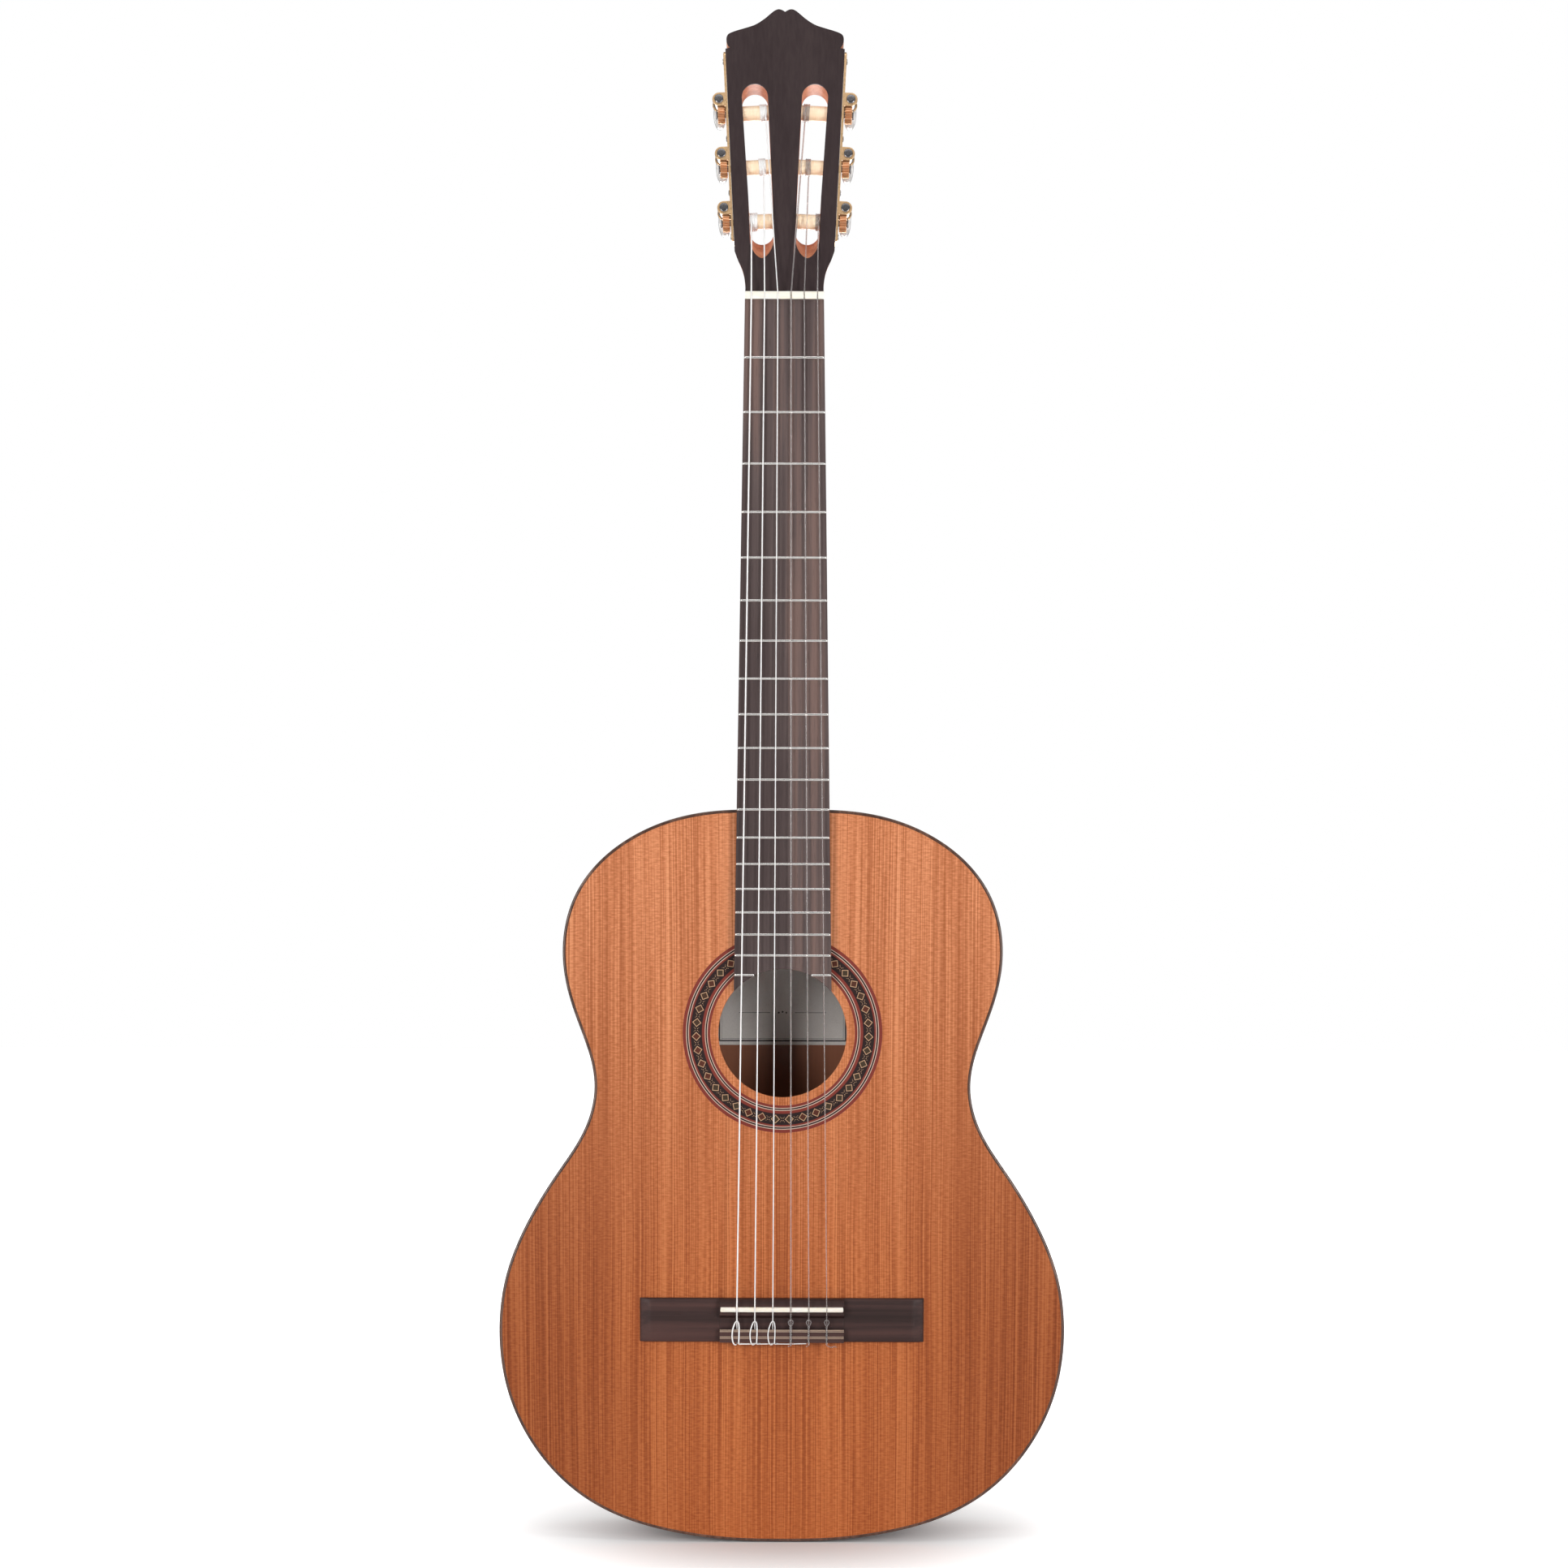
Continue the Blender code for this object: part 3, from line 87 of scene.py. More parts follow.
SLOT_OUT = ((22.4, 34.2), (27.9, 127.9))
SLOT_TIP = (14.7, 21.9)


def W(x, y, z):
    return Vector((x * MM, (y - Y_MID) * MM, z * MM))


def H(x, t, n):
    """A point on the head: t up its face from the nut's back edge, n into the wood."""
    return W(x, FACE_Y + t * math.sin(HEAD_ANGLE) + n * math.cos(HEAD_ANGLE),
             NUT_Z + NUT_THICK + t * math.cos(HEAD_ANGLE) - n * math.sin(HEAD_ANGLE))


def T(side, a, l, n):
    """A point in a tuning machine's frame: a out of the head's side, l along it, n deep."""
    c, s = math.cos(SIDE_TILT), math.sin(SIDE_TILT)
    return H(side * (SIDE_X0 + l * s + a * c), SIDE_T0 + l * c - a * s, n)


def U(u):
    return NUT_Z - u


# ------------------------------------------------------------------ mesh helpers
def loft(rings, closed_path=False, caps=True, open_ring=False):
    verts, faces, base = [], [], []
    for r in rings:
        base.append(len(verts))
        verts += list(r)
    n = max(len(r) for r in rings)
    pairs = list(zip(range(len(rings)), range(1, len(rings))))
    if closed_path:
        pairs.append((len(rings) - 1, 0))
    for i, j in pairs:
        a, b = rings[i], rings[j]
        for k in range(n - 1 if open_ring else n):
            k2 = (k + 1) % n
            if len(a) == 1:
                faces.append((base[i], base[j] + k, base[j] + k2))
            elif len(b) == 1:
                faces.append((base[i] + k, base[i] + k2, base[j]))
            else:
                faces.append((base[i] + k, base[i] + k2, base[j] + k2, base[j] + k))
    if caps and not closed_path:
        for i in (0, len(rings) - 1):
            if len(rings[i]) > 1:
                faces.append(tuple(base[i] + k for k in range(len(rings[i]))))
    return verts, faces


def merge(parts):
    verts, faces = [], []
    for v, f in parts:
        b = len(verts)
        verts += list(v)
        faces += [tuple(i + b for i in q) for q in f]
    return verts, faces


PIECES = []


def make(name, vf, mat=None, body="root", slot=None, nodes=(), angle=35, origin=None):
    """A finished piece from points in metres, riding on a body of the frame."""
    verts, faces = vf
    o = Vector(origin) if origin is not None else Vector((0, 0, 0))
    me = bpy.data.meshes.new(name)
    me.from_pydata([tuple(Vector(v) - o) for v in verts], [], faces)
    bm = bmesh.new()
    bm.from_mesh(me)
    bmesh.ops.remove_doubles(bm, verts=bm.verts[:], dist=1e-7)
    bmesh.ops.recalc_face_normals(bm, faces=bm.faces[:])
    if bm.calc_volume(signed=True) < 0:
        bmesh.ops.reverse_faces(bm, faces=bm.faces[:])
    bm.to_mesh(me)
    bm.free()
    me.shade_smooth()
    me.set_sharp_from_angle(angle=math.radians(angle))
    ob = bpy.data.objects.new(name, me)
    ob.location = o
    bpy.context.scene.collection.objects.link(ob)
    if mat is not None:
        me.materials.append(mat)
        PIECES.append(ob)
        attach(ob, body)
        if nodes:
            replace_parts(ob, *nodes)
    return ob


def cut(ob, tools, op="DIFFERENCE", angle=35):
    """Exact boolean of each tool into ob; the tools are removed."""
    for tool in tools:
        m = ob.modifiers.new("cut", "BOOLEAN")
        m.object, m.operation, m.solver = tool, op, "EXACT"
        m.use_self = op == "UNION"
        bpy.context.view_layer.update()
        me = bpy.data.meshes.new_from_object(ob.evaluated_get(bpy.context.evaluated_depsgraph_get()))
        ob.modifiers.clear()
        old, ob.data = ob.data, me
        me.name = old.name
        bpy.data.objects.remove(tool, do_unlink=True)
    bm = bmesh.new()
    bm.from_mesh(ob.data)
    bmesh.ops.remove_doubles(bm, verts=bm.verts[:], dist=2e-6)
    bmesh.ops.dissolve_degenerate(bm, dist=2e-6, edges=bm.edges[:])
    bm.to_mesh(ob.data)
    bm.free()
    ob.data.shade_smooth()
    ob.data.set_sharp_from_angle(angle=math.radians(angle))
    return ob


def area(loop):
    return 0.5 * sum(a[0] * b[1] - b[0] * a[1] for a, b in zip(loop, loop[1:] + loop[:1]))


def loop_normals(loop):
    """Unit normals that point out of the region the loop encloses; sharp corners get a mitre."""
    sign = 1 if area(loop) > 0 else -1
    out = []
    n = len(loop)
    for i in range(n):
        a, p, b = loop[i - 1], loop[i], loop[(i + 1) % n]
        e1 = Vector((p[0] - a[0], p[1] - a[1]))
        e2 = Vector((b[0] - p[0], b[1] - p[1]))
        n1 = Vector((e1.y, -e1.x)).normalized() if e1.length > 1e-9 else None
        n2 = Vector((e2.y, -e2.x)).normalized() if e2.length > 1e-9 else None
        n1 = n1 or n2
        n2 = n2 or n1
        m = n1 + n2
        m.normalize()
        k = 1.0 / max(0.5, m.dot(n1))
        out.append((m.x * k * sign, m.y * k * sign))
    return out


def slab(loops_at, place, d0, d1, r0=0.4, r1=0.4, seg=3, inner_r=None):
    """A plate between depths d0 and d1 from closed 2-D loops; the first loop is the outer edge and
    the others are holes. Its edges are rounded to r0 on the first face and r1 on the second."""
    if not callable(loops_at):
        fixed = loops_at
        loops_at = lambda d: fixed
    stations = []
    for k in range(seg + 1):
        a = math.pi / 2 * k / seg
        stations.append((d0 + r0 * (1 - math.sin(a)) * (1 if d1 > d0 else -1), r0 * (1 - math.cos(a))) if r0 > 0 else (d0, 0.0))
        if r0 <= 0:
            break
    stations = stations[::-1] if False else stations
    first = sorted(set(stations), key=lambda s: (abs(s[0] - d0), -s[1]))
    second = []
    for k in range(seg + 1):
        a = math.pi / 2 * k / seg
        second.append((d1 - r1 * (1 - math.sin(a)) * (1 if d1 > d0 else -1), r1 * (1 - math.cos(a))) if r1 > 0 else (d1, 0.0))
        if r1 <= 0:
            break
    second = sorted(set(second), key=lambda s: (-abs(s[0] - d1), s[1]))
    levels = first + second
    verts, faces, index = [], [], []
    for depth, inset in levels:
        loops = loops_at(depth)
        row = []
        for li, loop in enumerate(loops):
            nn = loop_normals(loop)
            k = -inset if li == 0 else inset
            if li > 0 and inner_r is not None:
                k = inset * inner_r
            ids = []
            for p, q in zip(loop, nn):
                ids.append(len(verts))
                verts.append(((p[0] + q[0] * k), (p[1] + q[1] * k), depth))
            row.append(ids)
        index.append(row)
    for a, b in zip(index, index[1:]):
        for la, lb in zip(a, b):
            n = len(la)
            for k in range(n):
                faces.append((la[k], la[(k + 1) % n], lb[(k + 1) % n], lb[k]))
    for row in (index[0], index[-1]):
        flat = [i for ids in row for i in ids]
        tris = tessellate_polygon([[Vector((verts[i][0], verts[i][1], 0)) for i in ids] for ids in row])
        for t in tris:
            faces.append(tuple(flat[i] for i in t))
    return [place(x, z, d) for x, z, d in verts], faces


def frames_along(path):
    """Tangents and turn-free side vectors along a path of points."""
    n = len(path)
    tang = []
    for i in range(n):
        a, b = path[max(i - 1, 0)], path[min(i + 1, n - 1)]
        tang.append((b - a).normalized())
    e = tang[0].orthogonal().normalized()
    sides = []
    for t in tang:
        e = e - t * e.dot(t)
        e.normalize()
        sides.append(e.copy())
    return tang, sides


def tube(path, radius, count=12, taper=True):
    """A round strand along a path in metres, radius in mm, with rounded ends."""
    tang, sides = frames_along(path)
    rings = []
    r = radius * MM

    def ring(p, t, e, rr):
        g = t.cross(e)
        return [p + (e * math.cos(2 * math.pi * k / count) + g * math.sin(2 * math.pi * k / count)) * rr for k in range(count)]

    if taper:
        for q in (0.95, 0.6):
            rings.append(ring(path[0] - tang[0] * r * q, tang[0], sides[0], r * math.sqrt(1 - q * q)))
    for p, t, e in zip(path, tang, sides):
        rings.append(ring(p, t, e, r))
    if taper:
        for q in (0.6, 0.95):
            rings.append(ring(path[-1] + tang[-1] * r * q, tang[-1], sides[-1], r * math.sqrt(1 - q * q)))
    return loft(rings)


def spline(points, per=8, closed=False):
    """Centripetal Catmull-Rom curve through 3-D points."""
    p = [Vector(q) for q in points]
    if closed:
        p = [p[-1]] + p + [p[0], p[1]]
    else:
        p = [p[0] * 2 - p[1]] + p + [p[-1] * 2 - p[-2]]
    out = []
    for i in range(1, len(p) - 2):
        p0, p1, p2, p3 = p[i - 1], p[i], p[i + 1], p[i + 2]
        t0 = 0.0
        t1 = t0 + max((p1 - p0).length, 1e-9) ** 0.5
        t2 = t1 + max((p2 - p1).length, 1e-9) ** 0.5
        t3 = t2 + max((p3 - p2).length, 1e-9) ** 0.5
        for k in range(per):
            t = t1 + (t2 - t1) * k / per
            a1 = p0 * ((t1 - t) / (t1 - t0)) + p1 * ((t - t0) / (t1 - t0))
            a2 = p1 * ((t2 - t) / (t2 - t1)) + p2 * ((t - t1) / (t2 - t1))
            a3 = p2 * ((t3 - t) / (t3 - t2)) + p3 * ((t - t2) / (t3 - t2))
            b1 = a1 * ((t2 - t) / (t2 - t0)) + a2 * ((t - t0) / (t2 - t0))
            b2 = a2 * ((t3 - t) / (t3 - t1)) + a3 * ((t - t1) / (t3 - t1))
            out.append(b1 * ((t2 - t) / (t2 - t1)) + b2 * ((t - t1) / (t2 - t1)))
    if not closed:
        out.append(p[-2])
    return out


def clamped_spline(points, steps, ends=((1.0, 0.0), (-1.0, 0.0))):
    """Cubic spline through plan points with given end directions, at equal steps of length."""
    p = np.array(points, float)
    u = np.concatenate([[0], np.cumsum(np.linalg.norm(np.diff(p, axis=0), axis=1))])
    n = len(p)
    h = np.diff(u)
    ends = np.array(ends)
    a = np.zeros((n, n))
    b = np.zeros((n, 2))
    a[0, 0], a[0, 1] = 2 * h[0], h[0]
    b[0] = 6 * ((p[1] - p[0]) / h[0] - ends[0])
    a[-1, -1], a[-1, -2] = 2 * h[-1], h[-1]
    b[-1] = 6 * (ends[1] - (p[-1] - p[-2]) / h[-1])
    for i in range(1, n - 1):
        a[i, i - 1], a[i, i], a[i, i + 1] = h[i - 1], 2 * (h[i - 1] + h[i]), h[i]
        b[i] = 6 * ((p[i + 1] - p[i]) / h[i] - (p[i] - p[i - 1]) / h[i - 1])
    m = np.linalg.solve(a, b)

    def at(t):
        i = min(max(int(np.searchsorted(u, t) - 1), 0), n - 2)
        d0, d1, hh = t - u[i], u[i + 1] - t, h[i]
        return (m[i] * d1 ** 3 + m[i + 1] * d0 ** 3) / (6 * hh) \
            + (p[i] / hh - m[i] * hh / 6) * d1 + (p[i + 1] / hh - m[i + 1] * hh / 6) * d0

    fine = np.array([at(t) for t in np.linspace(0, u[-1], 2400)])
    s = np.concatenate([[0], np.cumsum(np.linalg.norm(np.diff(fine, axis=0), axis=1))])
    want = np.linspace(0, s[-1], steps + 1)
    return np.stack([np.interp(want, s, fine[:, 0]), np.interp(want, s, fine[:, 1])], 1), fine


def natural_fit(points, at):
    """Natural cubic spline through rows of numbers, read at the given row numbers (0..n-1)."""
    p = np.array(points, float)
    n = len(p)
    d = np.linalg.norm(np.diff(p, axis=0).reshape(n - 1, -1), axis=1) + 1e-9
    u = np.concatenate([[0], np.cumsum(d)])
    h = np.diff(u)
    a = np.eye(n)
    b = np.zeros((n,) + p.shape[1:])
    for i in range(1, n - 1):
        a[i, i - 1], a[i, i], a[i, i + 1] = h[i - 1], 2 * (h[i - 1] + h[i]), h[i]
        b[i] = 6 * ((p[i + 1] - p[i]) / h[i] - (p[i] - p[i - 1]) / h[i - 1])
    m = np.linalg.solve(a, b.reshape(n, -1)).reshape(b.shape)
    out = []
    for q in at:
        i = min(int(q), n - 2)
        t = u[i] + (q - i) * h[i]
        d0, d1, hh = t - u[i], u[i + 1] - t, h[i]
        out.append((m[i] * d1 ** 3 + m[i + 1] * d0 ** 3) / (6 * hh)
                   + (p[i] / hh - m[i] * hh / 6) * d1 + (p[i + 1] / hh - m[i + 1] * hh / 6) * d0)
    return np.array(out)


# ------------------------------------------------------------------ node material helper
class Mat:
    """Builds a Principled material out of arithmetic on the object's own coordinates."""

    def __init__(self, name, rough=0.4, metal=0.0):
        self.m = bpy.data.materials.new(name)
        self.m.use_nodes = True
        self.t = self.m.node_tree
        self.p = self.t.nodes["Principled BSDF"]
        self.p.inputs["Roughness"].default_value = rough
        self.p.inputs["Metallic"].default_value = metal
        self.co = self.t.nodes.new("ShaderNodeTexCoord").outputs["Object"]
        s = self.t.nodes.new("ShaderNodeSeparateXYZ")
        self.t.links.new(self.co, s.inputs[0])
        self.x, self.y, self.z = s.outputs

    def put(self, sock, v):
        if isinstance(v, bpy.types.NodeSocket):
            self.t.links.new(v, sock)
        elif isinstance(v, (tuple, list)) and len(v) == 3 and sock.type == "RGBA":
            sock.default_value = (*v, 1.0)
        else:
            sock.default_value = v

    def set(self, name, v):
        self.put(self.p.inputs[name], v)
        return self

    def math(self, op, a, b=None, c=None, clamp=False):
        n = self.t.nodes.new("ShaderNodeMath")
        n.operation = op
        n.use_clamp = clamp
        for i, v in enumerate((a, b, c)):
            if v is not None:
                self.put(n.inputs[i], v)
        return n.outputs[0]

    def add(self, a, b):
        return self.math("ADD", a, b)

    def mul(self, a, b):
        return self.math("MULTIPLY", a, b)

    def step(self, v, lo, hi):
        """0 below lo, 1 above hi, smooth between."""
        n = self.t.nodes.new("ShaderNodeMapRange")
        n.interpolation_type = "SMOOTHSTEP"
        self.put(n.inputs["Value"], v)
        n.inputs["From Min"].default_value = lo
        n.inputs["From Max"].default_value = hi
        return n.outputs["Result"]

    def within(self, v, lo, hi, soft):
        """1 where v lies between lo and hi."""
        a = self.step(v, lo - soft, lo + soft)
        b = self.step(v, hi - soft, hi + soft)
        return self.math("SUBTRACT", a, b, clamp=True)

    def vec(self, x, y, z):
        n = self.t.nodes.new("ShaderNodeCombineXYZ")
        for i, v in enumerate((x, y, z)):
            self.put(n.inputs[i], v)
        return n.outputs[0]

    def stretch(self, sx, sy, sz, shift=(0, 0, 0)):
        n = self.t.nodes.new("ShaderNodeMapping")
        self.t.links.new(self.co, n.inputs["Vector"])
        n.inputs["Scale"].default_value = (sx, sy, sz)
        n.inputs["Location"].default_value = shift
        return n.outputs[0]

    def noise(self, v, scale=1.0, detail=3.0, rough=0.5, distort=0.0):
        n = self.t.nodes.new("ShaderNodeTexNoise")
        self.t.links.new(v, n.inputs["Vector"])
        n.inputs["Scale"].default_value = scale
        n.inputs["Detail"].default_value = detail
        n.inputs["Roughness"].default_value = rough
        n.inputs["Distortion"].default_value = distort
        return n.outputs["Fac"] if "Fac" in n.outputs else n.outputs[0]

    def ramp(self, fac, stops, mode="LINEAR"):
        n = self.t.nodes.new("ShaderNodeValToRGB")
        n.color_ramp.interpolation = mode
        e = n.color_ramp.elements
        while len(e) < len(stops):
            e.new(0.5)
        for el, (pos, col) in zip(e, stops):
            el.position = pos
            el.color = (*col, 1.0) if len(col) == 3 else col
        self.put(n.inputs["Fac"], fac)
        return n.outputs["Color"]

    def mix(self, fac, a, b, mode="MIX"):
        n = self.t.nodes.new("ShaderNodeMix")
        n.data_type = "RGBA"
        n.blend_type = mode
        self.put(n.inputs[0], fac)
        self.put(n.inputs[6], a)
        self.put(n.inputs[7], b)
        return n.outputs[2]

    def scale(self, col, k):
        """Colour times a factor."""
        n = self.t.nodes.new("ShaderNodeVectorMath")
        n.operation = "SCALE"
        self.put(n.inputs[0], col)
        self.put(n.inputs["Scale"], k)
        return n.outputs[0]

    def bump(self, height, dist_mm, strength=1.0, normal=None):
        n = self.t.nodes.new("ShaderNodeBump")
        self.put(n.inputs["Height"], height)
        n.inputs["Distance"].default_value = dist_mm * MM
        n.inputs["Strength"].default_value = strength
        if normal is not None:
            self.t.links.new(normal, n.inputs["Normal"])
        self.t.links.new(n.outputs[0], self.p.inputs["Normal"])
        return n.outputs[0]

    def wear(self, radius_mm):
        """High on worn outer edges: the rounded normal against the true one."""
        b = self.t.nodes.new("ShaderNodeBevel")
        b.samples = 4
        b.inputs["Radius"].default_value = radius_mm * MM
        g = self.t.nodes.new("ShaderNodeNewGeometry")
        d = self.t.nodes.new("ShaderNodeVectorMath")
        d.operation = "DOT_PRODUCT"
        self.t.links.new(b.outputs[0], d.inputs[0])
        self.t.links.new(g.outputs["Normal"], d.inputs[1])
        return self.math("SUBTRACT", 1.0, d.outputs["Value"], clamp=True)


def srgb(r, g, b):
    """Screen colour (0-255) to linear."""
    f = lambda c: c / 12.92 if c <= 0.04045 else ((c + 0.055) / 1.055) ** 2.4
    return tuple(f(c / 255.0) for c in (r, g, b))


def wood(name, base, dark, light, axis="z", rings=700.0, fleck=0.5, rough=0.35, coat=0.3, pore=0.0, drift=0.3, streak=0.5, gain=1.0, gloss=0.4):
    """A straight-grained timber. axis is the grain's direction, rings the lines per metre across it."""
    m = Mat(name, rough)
    k = {"x": (0.012, 1, 1), "y": (1, 0.012, 1), "z": (1, 1, 0.012), "bent": (0.012, 1, 0.012)}[axis]
    fine = m.noise(m.stretch(*(rings * q for q in k)), 1.0, 3.0, 0.6)
    broad = m.noise(m.stretch(*(rings * 0.16 * q for q in k), shift=(3, 5, 7)), 1.0, 3.0, 0.55)
    cloud = m.noise(m.stretch(*(28.0 * (q if q == 1 else 0.18) for q in k), shift=(11, 2, 4)), 1.0, 2.0)
    tone = m.add(m.mul(fine, fleck), m.mul(broad, streak))
    tone = m.add(tone, m.mul(cloud, drift))
    lo, hi = 0.5 * (fleck + streak + drift) - 0.22 * gain, 0.5 * (fleck + streak + drift) + 0.22 * gain
    fac = m.step(tone, lo, hi)
    col = m.ramp(fac, [(0.0, dark), (0.5, base), (1.0, light)])
    m.col, m.fine, m.broad, m.fac = col, fine, broad, fac
    m.set("Base Color", col)
    m.set("Coat Weight", coat)
    m.set("Coat Roughness", 0.12)
    m.set("Specular IOR Level", gloss)
    height = m.mul(fine, 0.5)
    if pore:
        pits = m.noise(m.stretch(*(2600.0 * (q if q == 1 else 0.035) for q in k), shift=(1, 9, 2)), 1.0, 2.0, 0.5)
        pit = m.step(pits, 0.62, 0.70)
        m.pit = pit
        m.set("Base Color", m.mix(m.mul(pit, pore), col, tuple(c * 0.35 for c in dark)))
        height = m.math("SUBTRACT", height, m.mul(pit, 0.8))
    m.bump(height, 0.03, 0.5)
    return m


# ------------------------------------------------------------------ materials
def cedar_top():
    """Book-matched cedar: close growth rings, cross silk, slow colour drift, thin lacquer; darker towards the tail
    (partly its own tone, partly painted shade) and painted shade and light across the lower bout.
    """
    m = Mat("cedar_lacquer", 0.33)
    ax = m.math("ABSOLUTE", m.x)
    bend = m.noise(m.vec(m.mul(ax, 5.0), 0.0, m.mul(m.z, 3.0)), 1.0, 2.0)
    xx = m.add(ax, m.mul(bend, 0.006))
    rings = m.noise(m.vec(m.mul(xx, 1150.0), 0.0, m.mul(m.z, 4.0)), 1.0, 2.0, 0.55)
    pairs = m.noise(m.vec(m.mul(xx, 420.0), 2.0, m.mul(m.z, 3.0)), 1.0, 2.0, 0.5)
    broad = m.noise(m.vec(m.mul(xx, 42.0), 4.0, m.mul(m.z, 1.4)), 1.0, 3.0, 0.5)
    silk = m.noise(m.vec(m.mul(ax, 260.0), 6.0, m.mul(m.z, 900.0)), 1.0, 2.0, 0.5)
    tone = m.add(m.add(m.mul(rings, 0.62), m.mul(pairs, 0.24)), m.add(m.mul(broad, 0.28), m.mul(silk, 0.34)))
    fac = m.step(tone, 0.54, 0.94)
    col = m.ramp(fac, [(0.0, srgb(166, 94, 56)), (0.5, srgb(202, 126, 84)), (1.0, srgb(232, 158, 114))])
    # darker towards the tail: partly the cedar's own tone, partly painted shade where the light falls off lower down
    low = m.step(m.z, 0.11, 0.5)
    col = m.mix(1.0, col, m.mix(low, (0.66, 0.48, 0.31), (1.0, 1.0, 1.0)), "MULTIPLY")
    # painted shade and painted light on the lower bout: its sides darkened, its centre lightened
    side = m.step(ax, 0.03, 0.17)
    shade = m.mix(side, (1.13, 1.15, 1.12), (0.84, 0.80, 0.74))
    col = m.mix(m.math("SUBTRACT", 1.0, low), col, m.mix(1.0, col, shade, "MULTIPLY"))
    seam = m.within(m.x, -0.00012, 0.00012, 0.00008)
    col = m.mix(m.mul(seam, 0.35), col, srgb(120, 62, 36))
    m.set("Base Color", col)
    m.set("Coat Weight", 0.08)
    m.set("Coat Roughness", 0.25)
    m.set("Specular IOR Level", 0.22)
    smudge = m.noise(m.stretch(14, 14, 14), 1.0, 3.0)
    m.set("Roughness", m.add(0.30, m.mul(smudge, 0.14)))
    m.bump(m.add(m.mul(rings, 0.7), m.mul(silk, 0.3)), 0.02, 0.5)
    return m.m


def rosette_rings():
    """Inlaid rings: maroon, white and black lines about a mosaic of linked diamonds."""
    m = Mat("rosette_inlay", 0.33)
    dz = m.math("SUBTRACT", m.z, HOLE_Z * MM)
    r = m.mul(m.math("SQRT", m.add(m.mul(m.x, m.x), m.mul(dz, dz))), 1000.0)
    th = m.math("ARCTAN2", dz, m.x)
    cells = 39
    grain = m.noise(m.stretch(900, 900, 900), 1.0, 2.0)
    col = m.mix(m.mul(grain, 0.5), srgb(132, 56, 46), srgb(104, 40, 34))
    white, black, gold = srgb(198, 174, 158), srgb(40, 27, 27), srgb(206, 168, 132)
    for lo, hi, c in ((63.55, 64.05, white), (62.6, 63.55, black), (62.1, 62.6, white), (53.5, 61.0, black),
                      (51.1, 51.6, white), (50.2, 51.1, black), (49.7, 50.2, white)):
        col = m.mix(m.within(r, lo, hi, 0.07), col, c)
    s = m.add(m.mul(th, cells / (2 * math.pi)), 0.75)
    cell = m.math("FLOOR", s)
    p = m.mul(m.math("SUBTRACT", m.math("FRACT", s), 0.5), 2 * math.pi * 57.25 / cells)
    q = m.math("SUBTRACT", r, 57.25)
    ap, aq = m.math("ABSOLUTE", p), m.math("ABSOLUTE", q)
    d = m.add(ap, aq)
    tint = m.noise(m.vec(m.mul(cell, 3.7), 0.5, 0.5), 1.0, 0.0)
    tan = m.mix(m.mul(grain, 0.7), gold, srgb(150, 112, 84))
    core = m.mix(m.step(tint, 0.42, 0.58), srgb(84, 42, 30), srgb(62, 50, 36))
    col = m.mix(m.within(d, -1.0, 2.5, 0.1), col, core)
    col = m.mix(m.within(d, 2.35, 3.0, 0.1), col, tan)
    half = math.pi * 57.25 / cells
    bp = m.math("SUBTRACT", half, ap)
    for px, qx, rad in ((0.62, 0.8, 0.34), (1.35, 1.5, 0.24)):
        e = m.add(m.math("ABSOLUTE", m.math("SUBTRACT", bp, px)), m.math("ABSOLUTE", m.math("SUBTRACT", aq, qx)))
        col = m.mix(m.within(e, -1.0, rad, 0.1), col, tan)
    m.set("Base Color", col)
    m.set("Coat Weight", 0.06)
    m.set("Specular IOR Level", 0.2)
    m.set("Roughness", m.add(0.36, m.mul(grain, 0.12)))
    m.bump(grain, 0.01, 0.4)
    return m.m


def back_wood(name, strip):
    """Lacquered mahogany with ribbon figure and open pores; the back has a centre strip."""
    m = wood(name, srgb(124, 64, 42), srgb(96, 46, 30), srgb(152, 86, 58), "z" if strip else "bent", 520, 0.45, 0.42, 0.08, 0.45, 0.3, 0.45, 1.0, 0.25)
    if strip:
        ribbon = m.noise(m.vec(m.mul(m.math("ABSOLUTE", m.x), 110.0), m.mul(m.y, 60.0), m.mul(m.z, 9.0)), 1.0, 2.0)
    else:
        ribbon = m.noise(m.vec(m.mul(m.x, 7.0), m.mul(m.y, 130.0), m.mul(m.z, 7.0)), 1.0, 2.0)
    col = m.mix(m.mul(m.step(ribbon, 0.4, 0.7), 0.3), m.p.inputs["Base Color"].links[0].from_socket, srgb(164, 96, 66))
    if strip:
        nrm = m.t.nodes.new("ShaderNodeSeparateXYZ")
        m.t.links.new(m.t.nodes.new("ShaderNodeNewGeometry").outputs["True Normal"], nrm.inputs[0])
        inner = m.math("LESS_THAN", nrm.outputs[1], 0.0)
        col = m.mix(m.mul(inner, 0.75), col, srgb(170, 112, 84))
        a = m.add(m.mul(m.math("ABSOLUTE", m.x), 1000.0), m.mul(inner, 50.0))
        col = m.mix(m.within(a, -1.0, 3.4, 0.05), col, srgb(40, 27, 25))
        col = m.mix(m.within(a, 2.2, 2.7, 0.05), col, srgb(206, 178, 140))
        seg = m.math("FRACT", m.mul(m.z, 1000.0 / 4.0))
        dash = m.mul(m.within(a, -1.0, 1.1, 0.05), m.within(seg, 0.25, 0.75, 0.02))
        col = m.mix(dash, col, srgb(170, 128, 92))
    m.set("Base Color", col)
    return m.m


def spruce_inside():
    m = wood("bare_spruce", srgb(206, 168, 118), srgb(176, 134, 86), srgb(226, 194, 150), "x", 700, 0.6, 0.6, 0.0)
    saw = m.noise(m.stretch(40, 900, 900), 1.0, 2.0)
    m.set("Roughness", m.add(0.55, m.mul(saw, 0.2)))
    return m.m


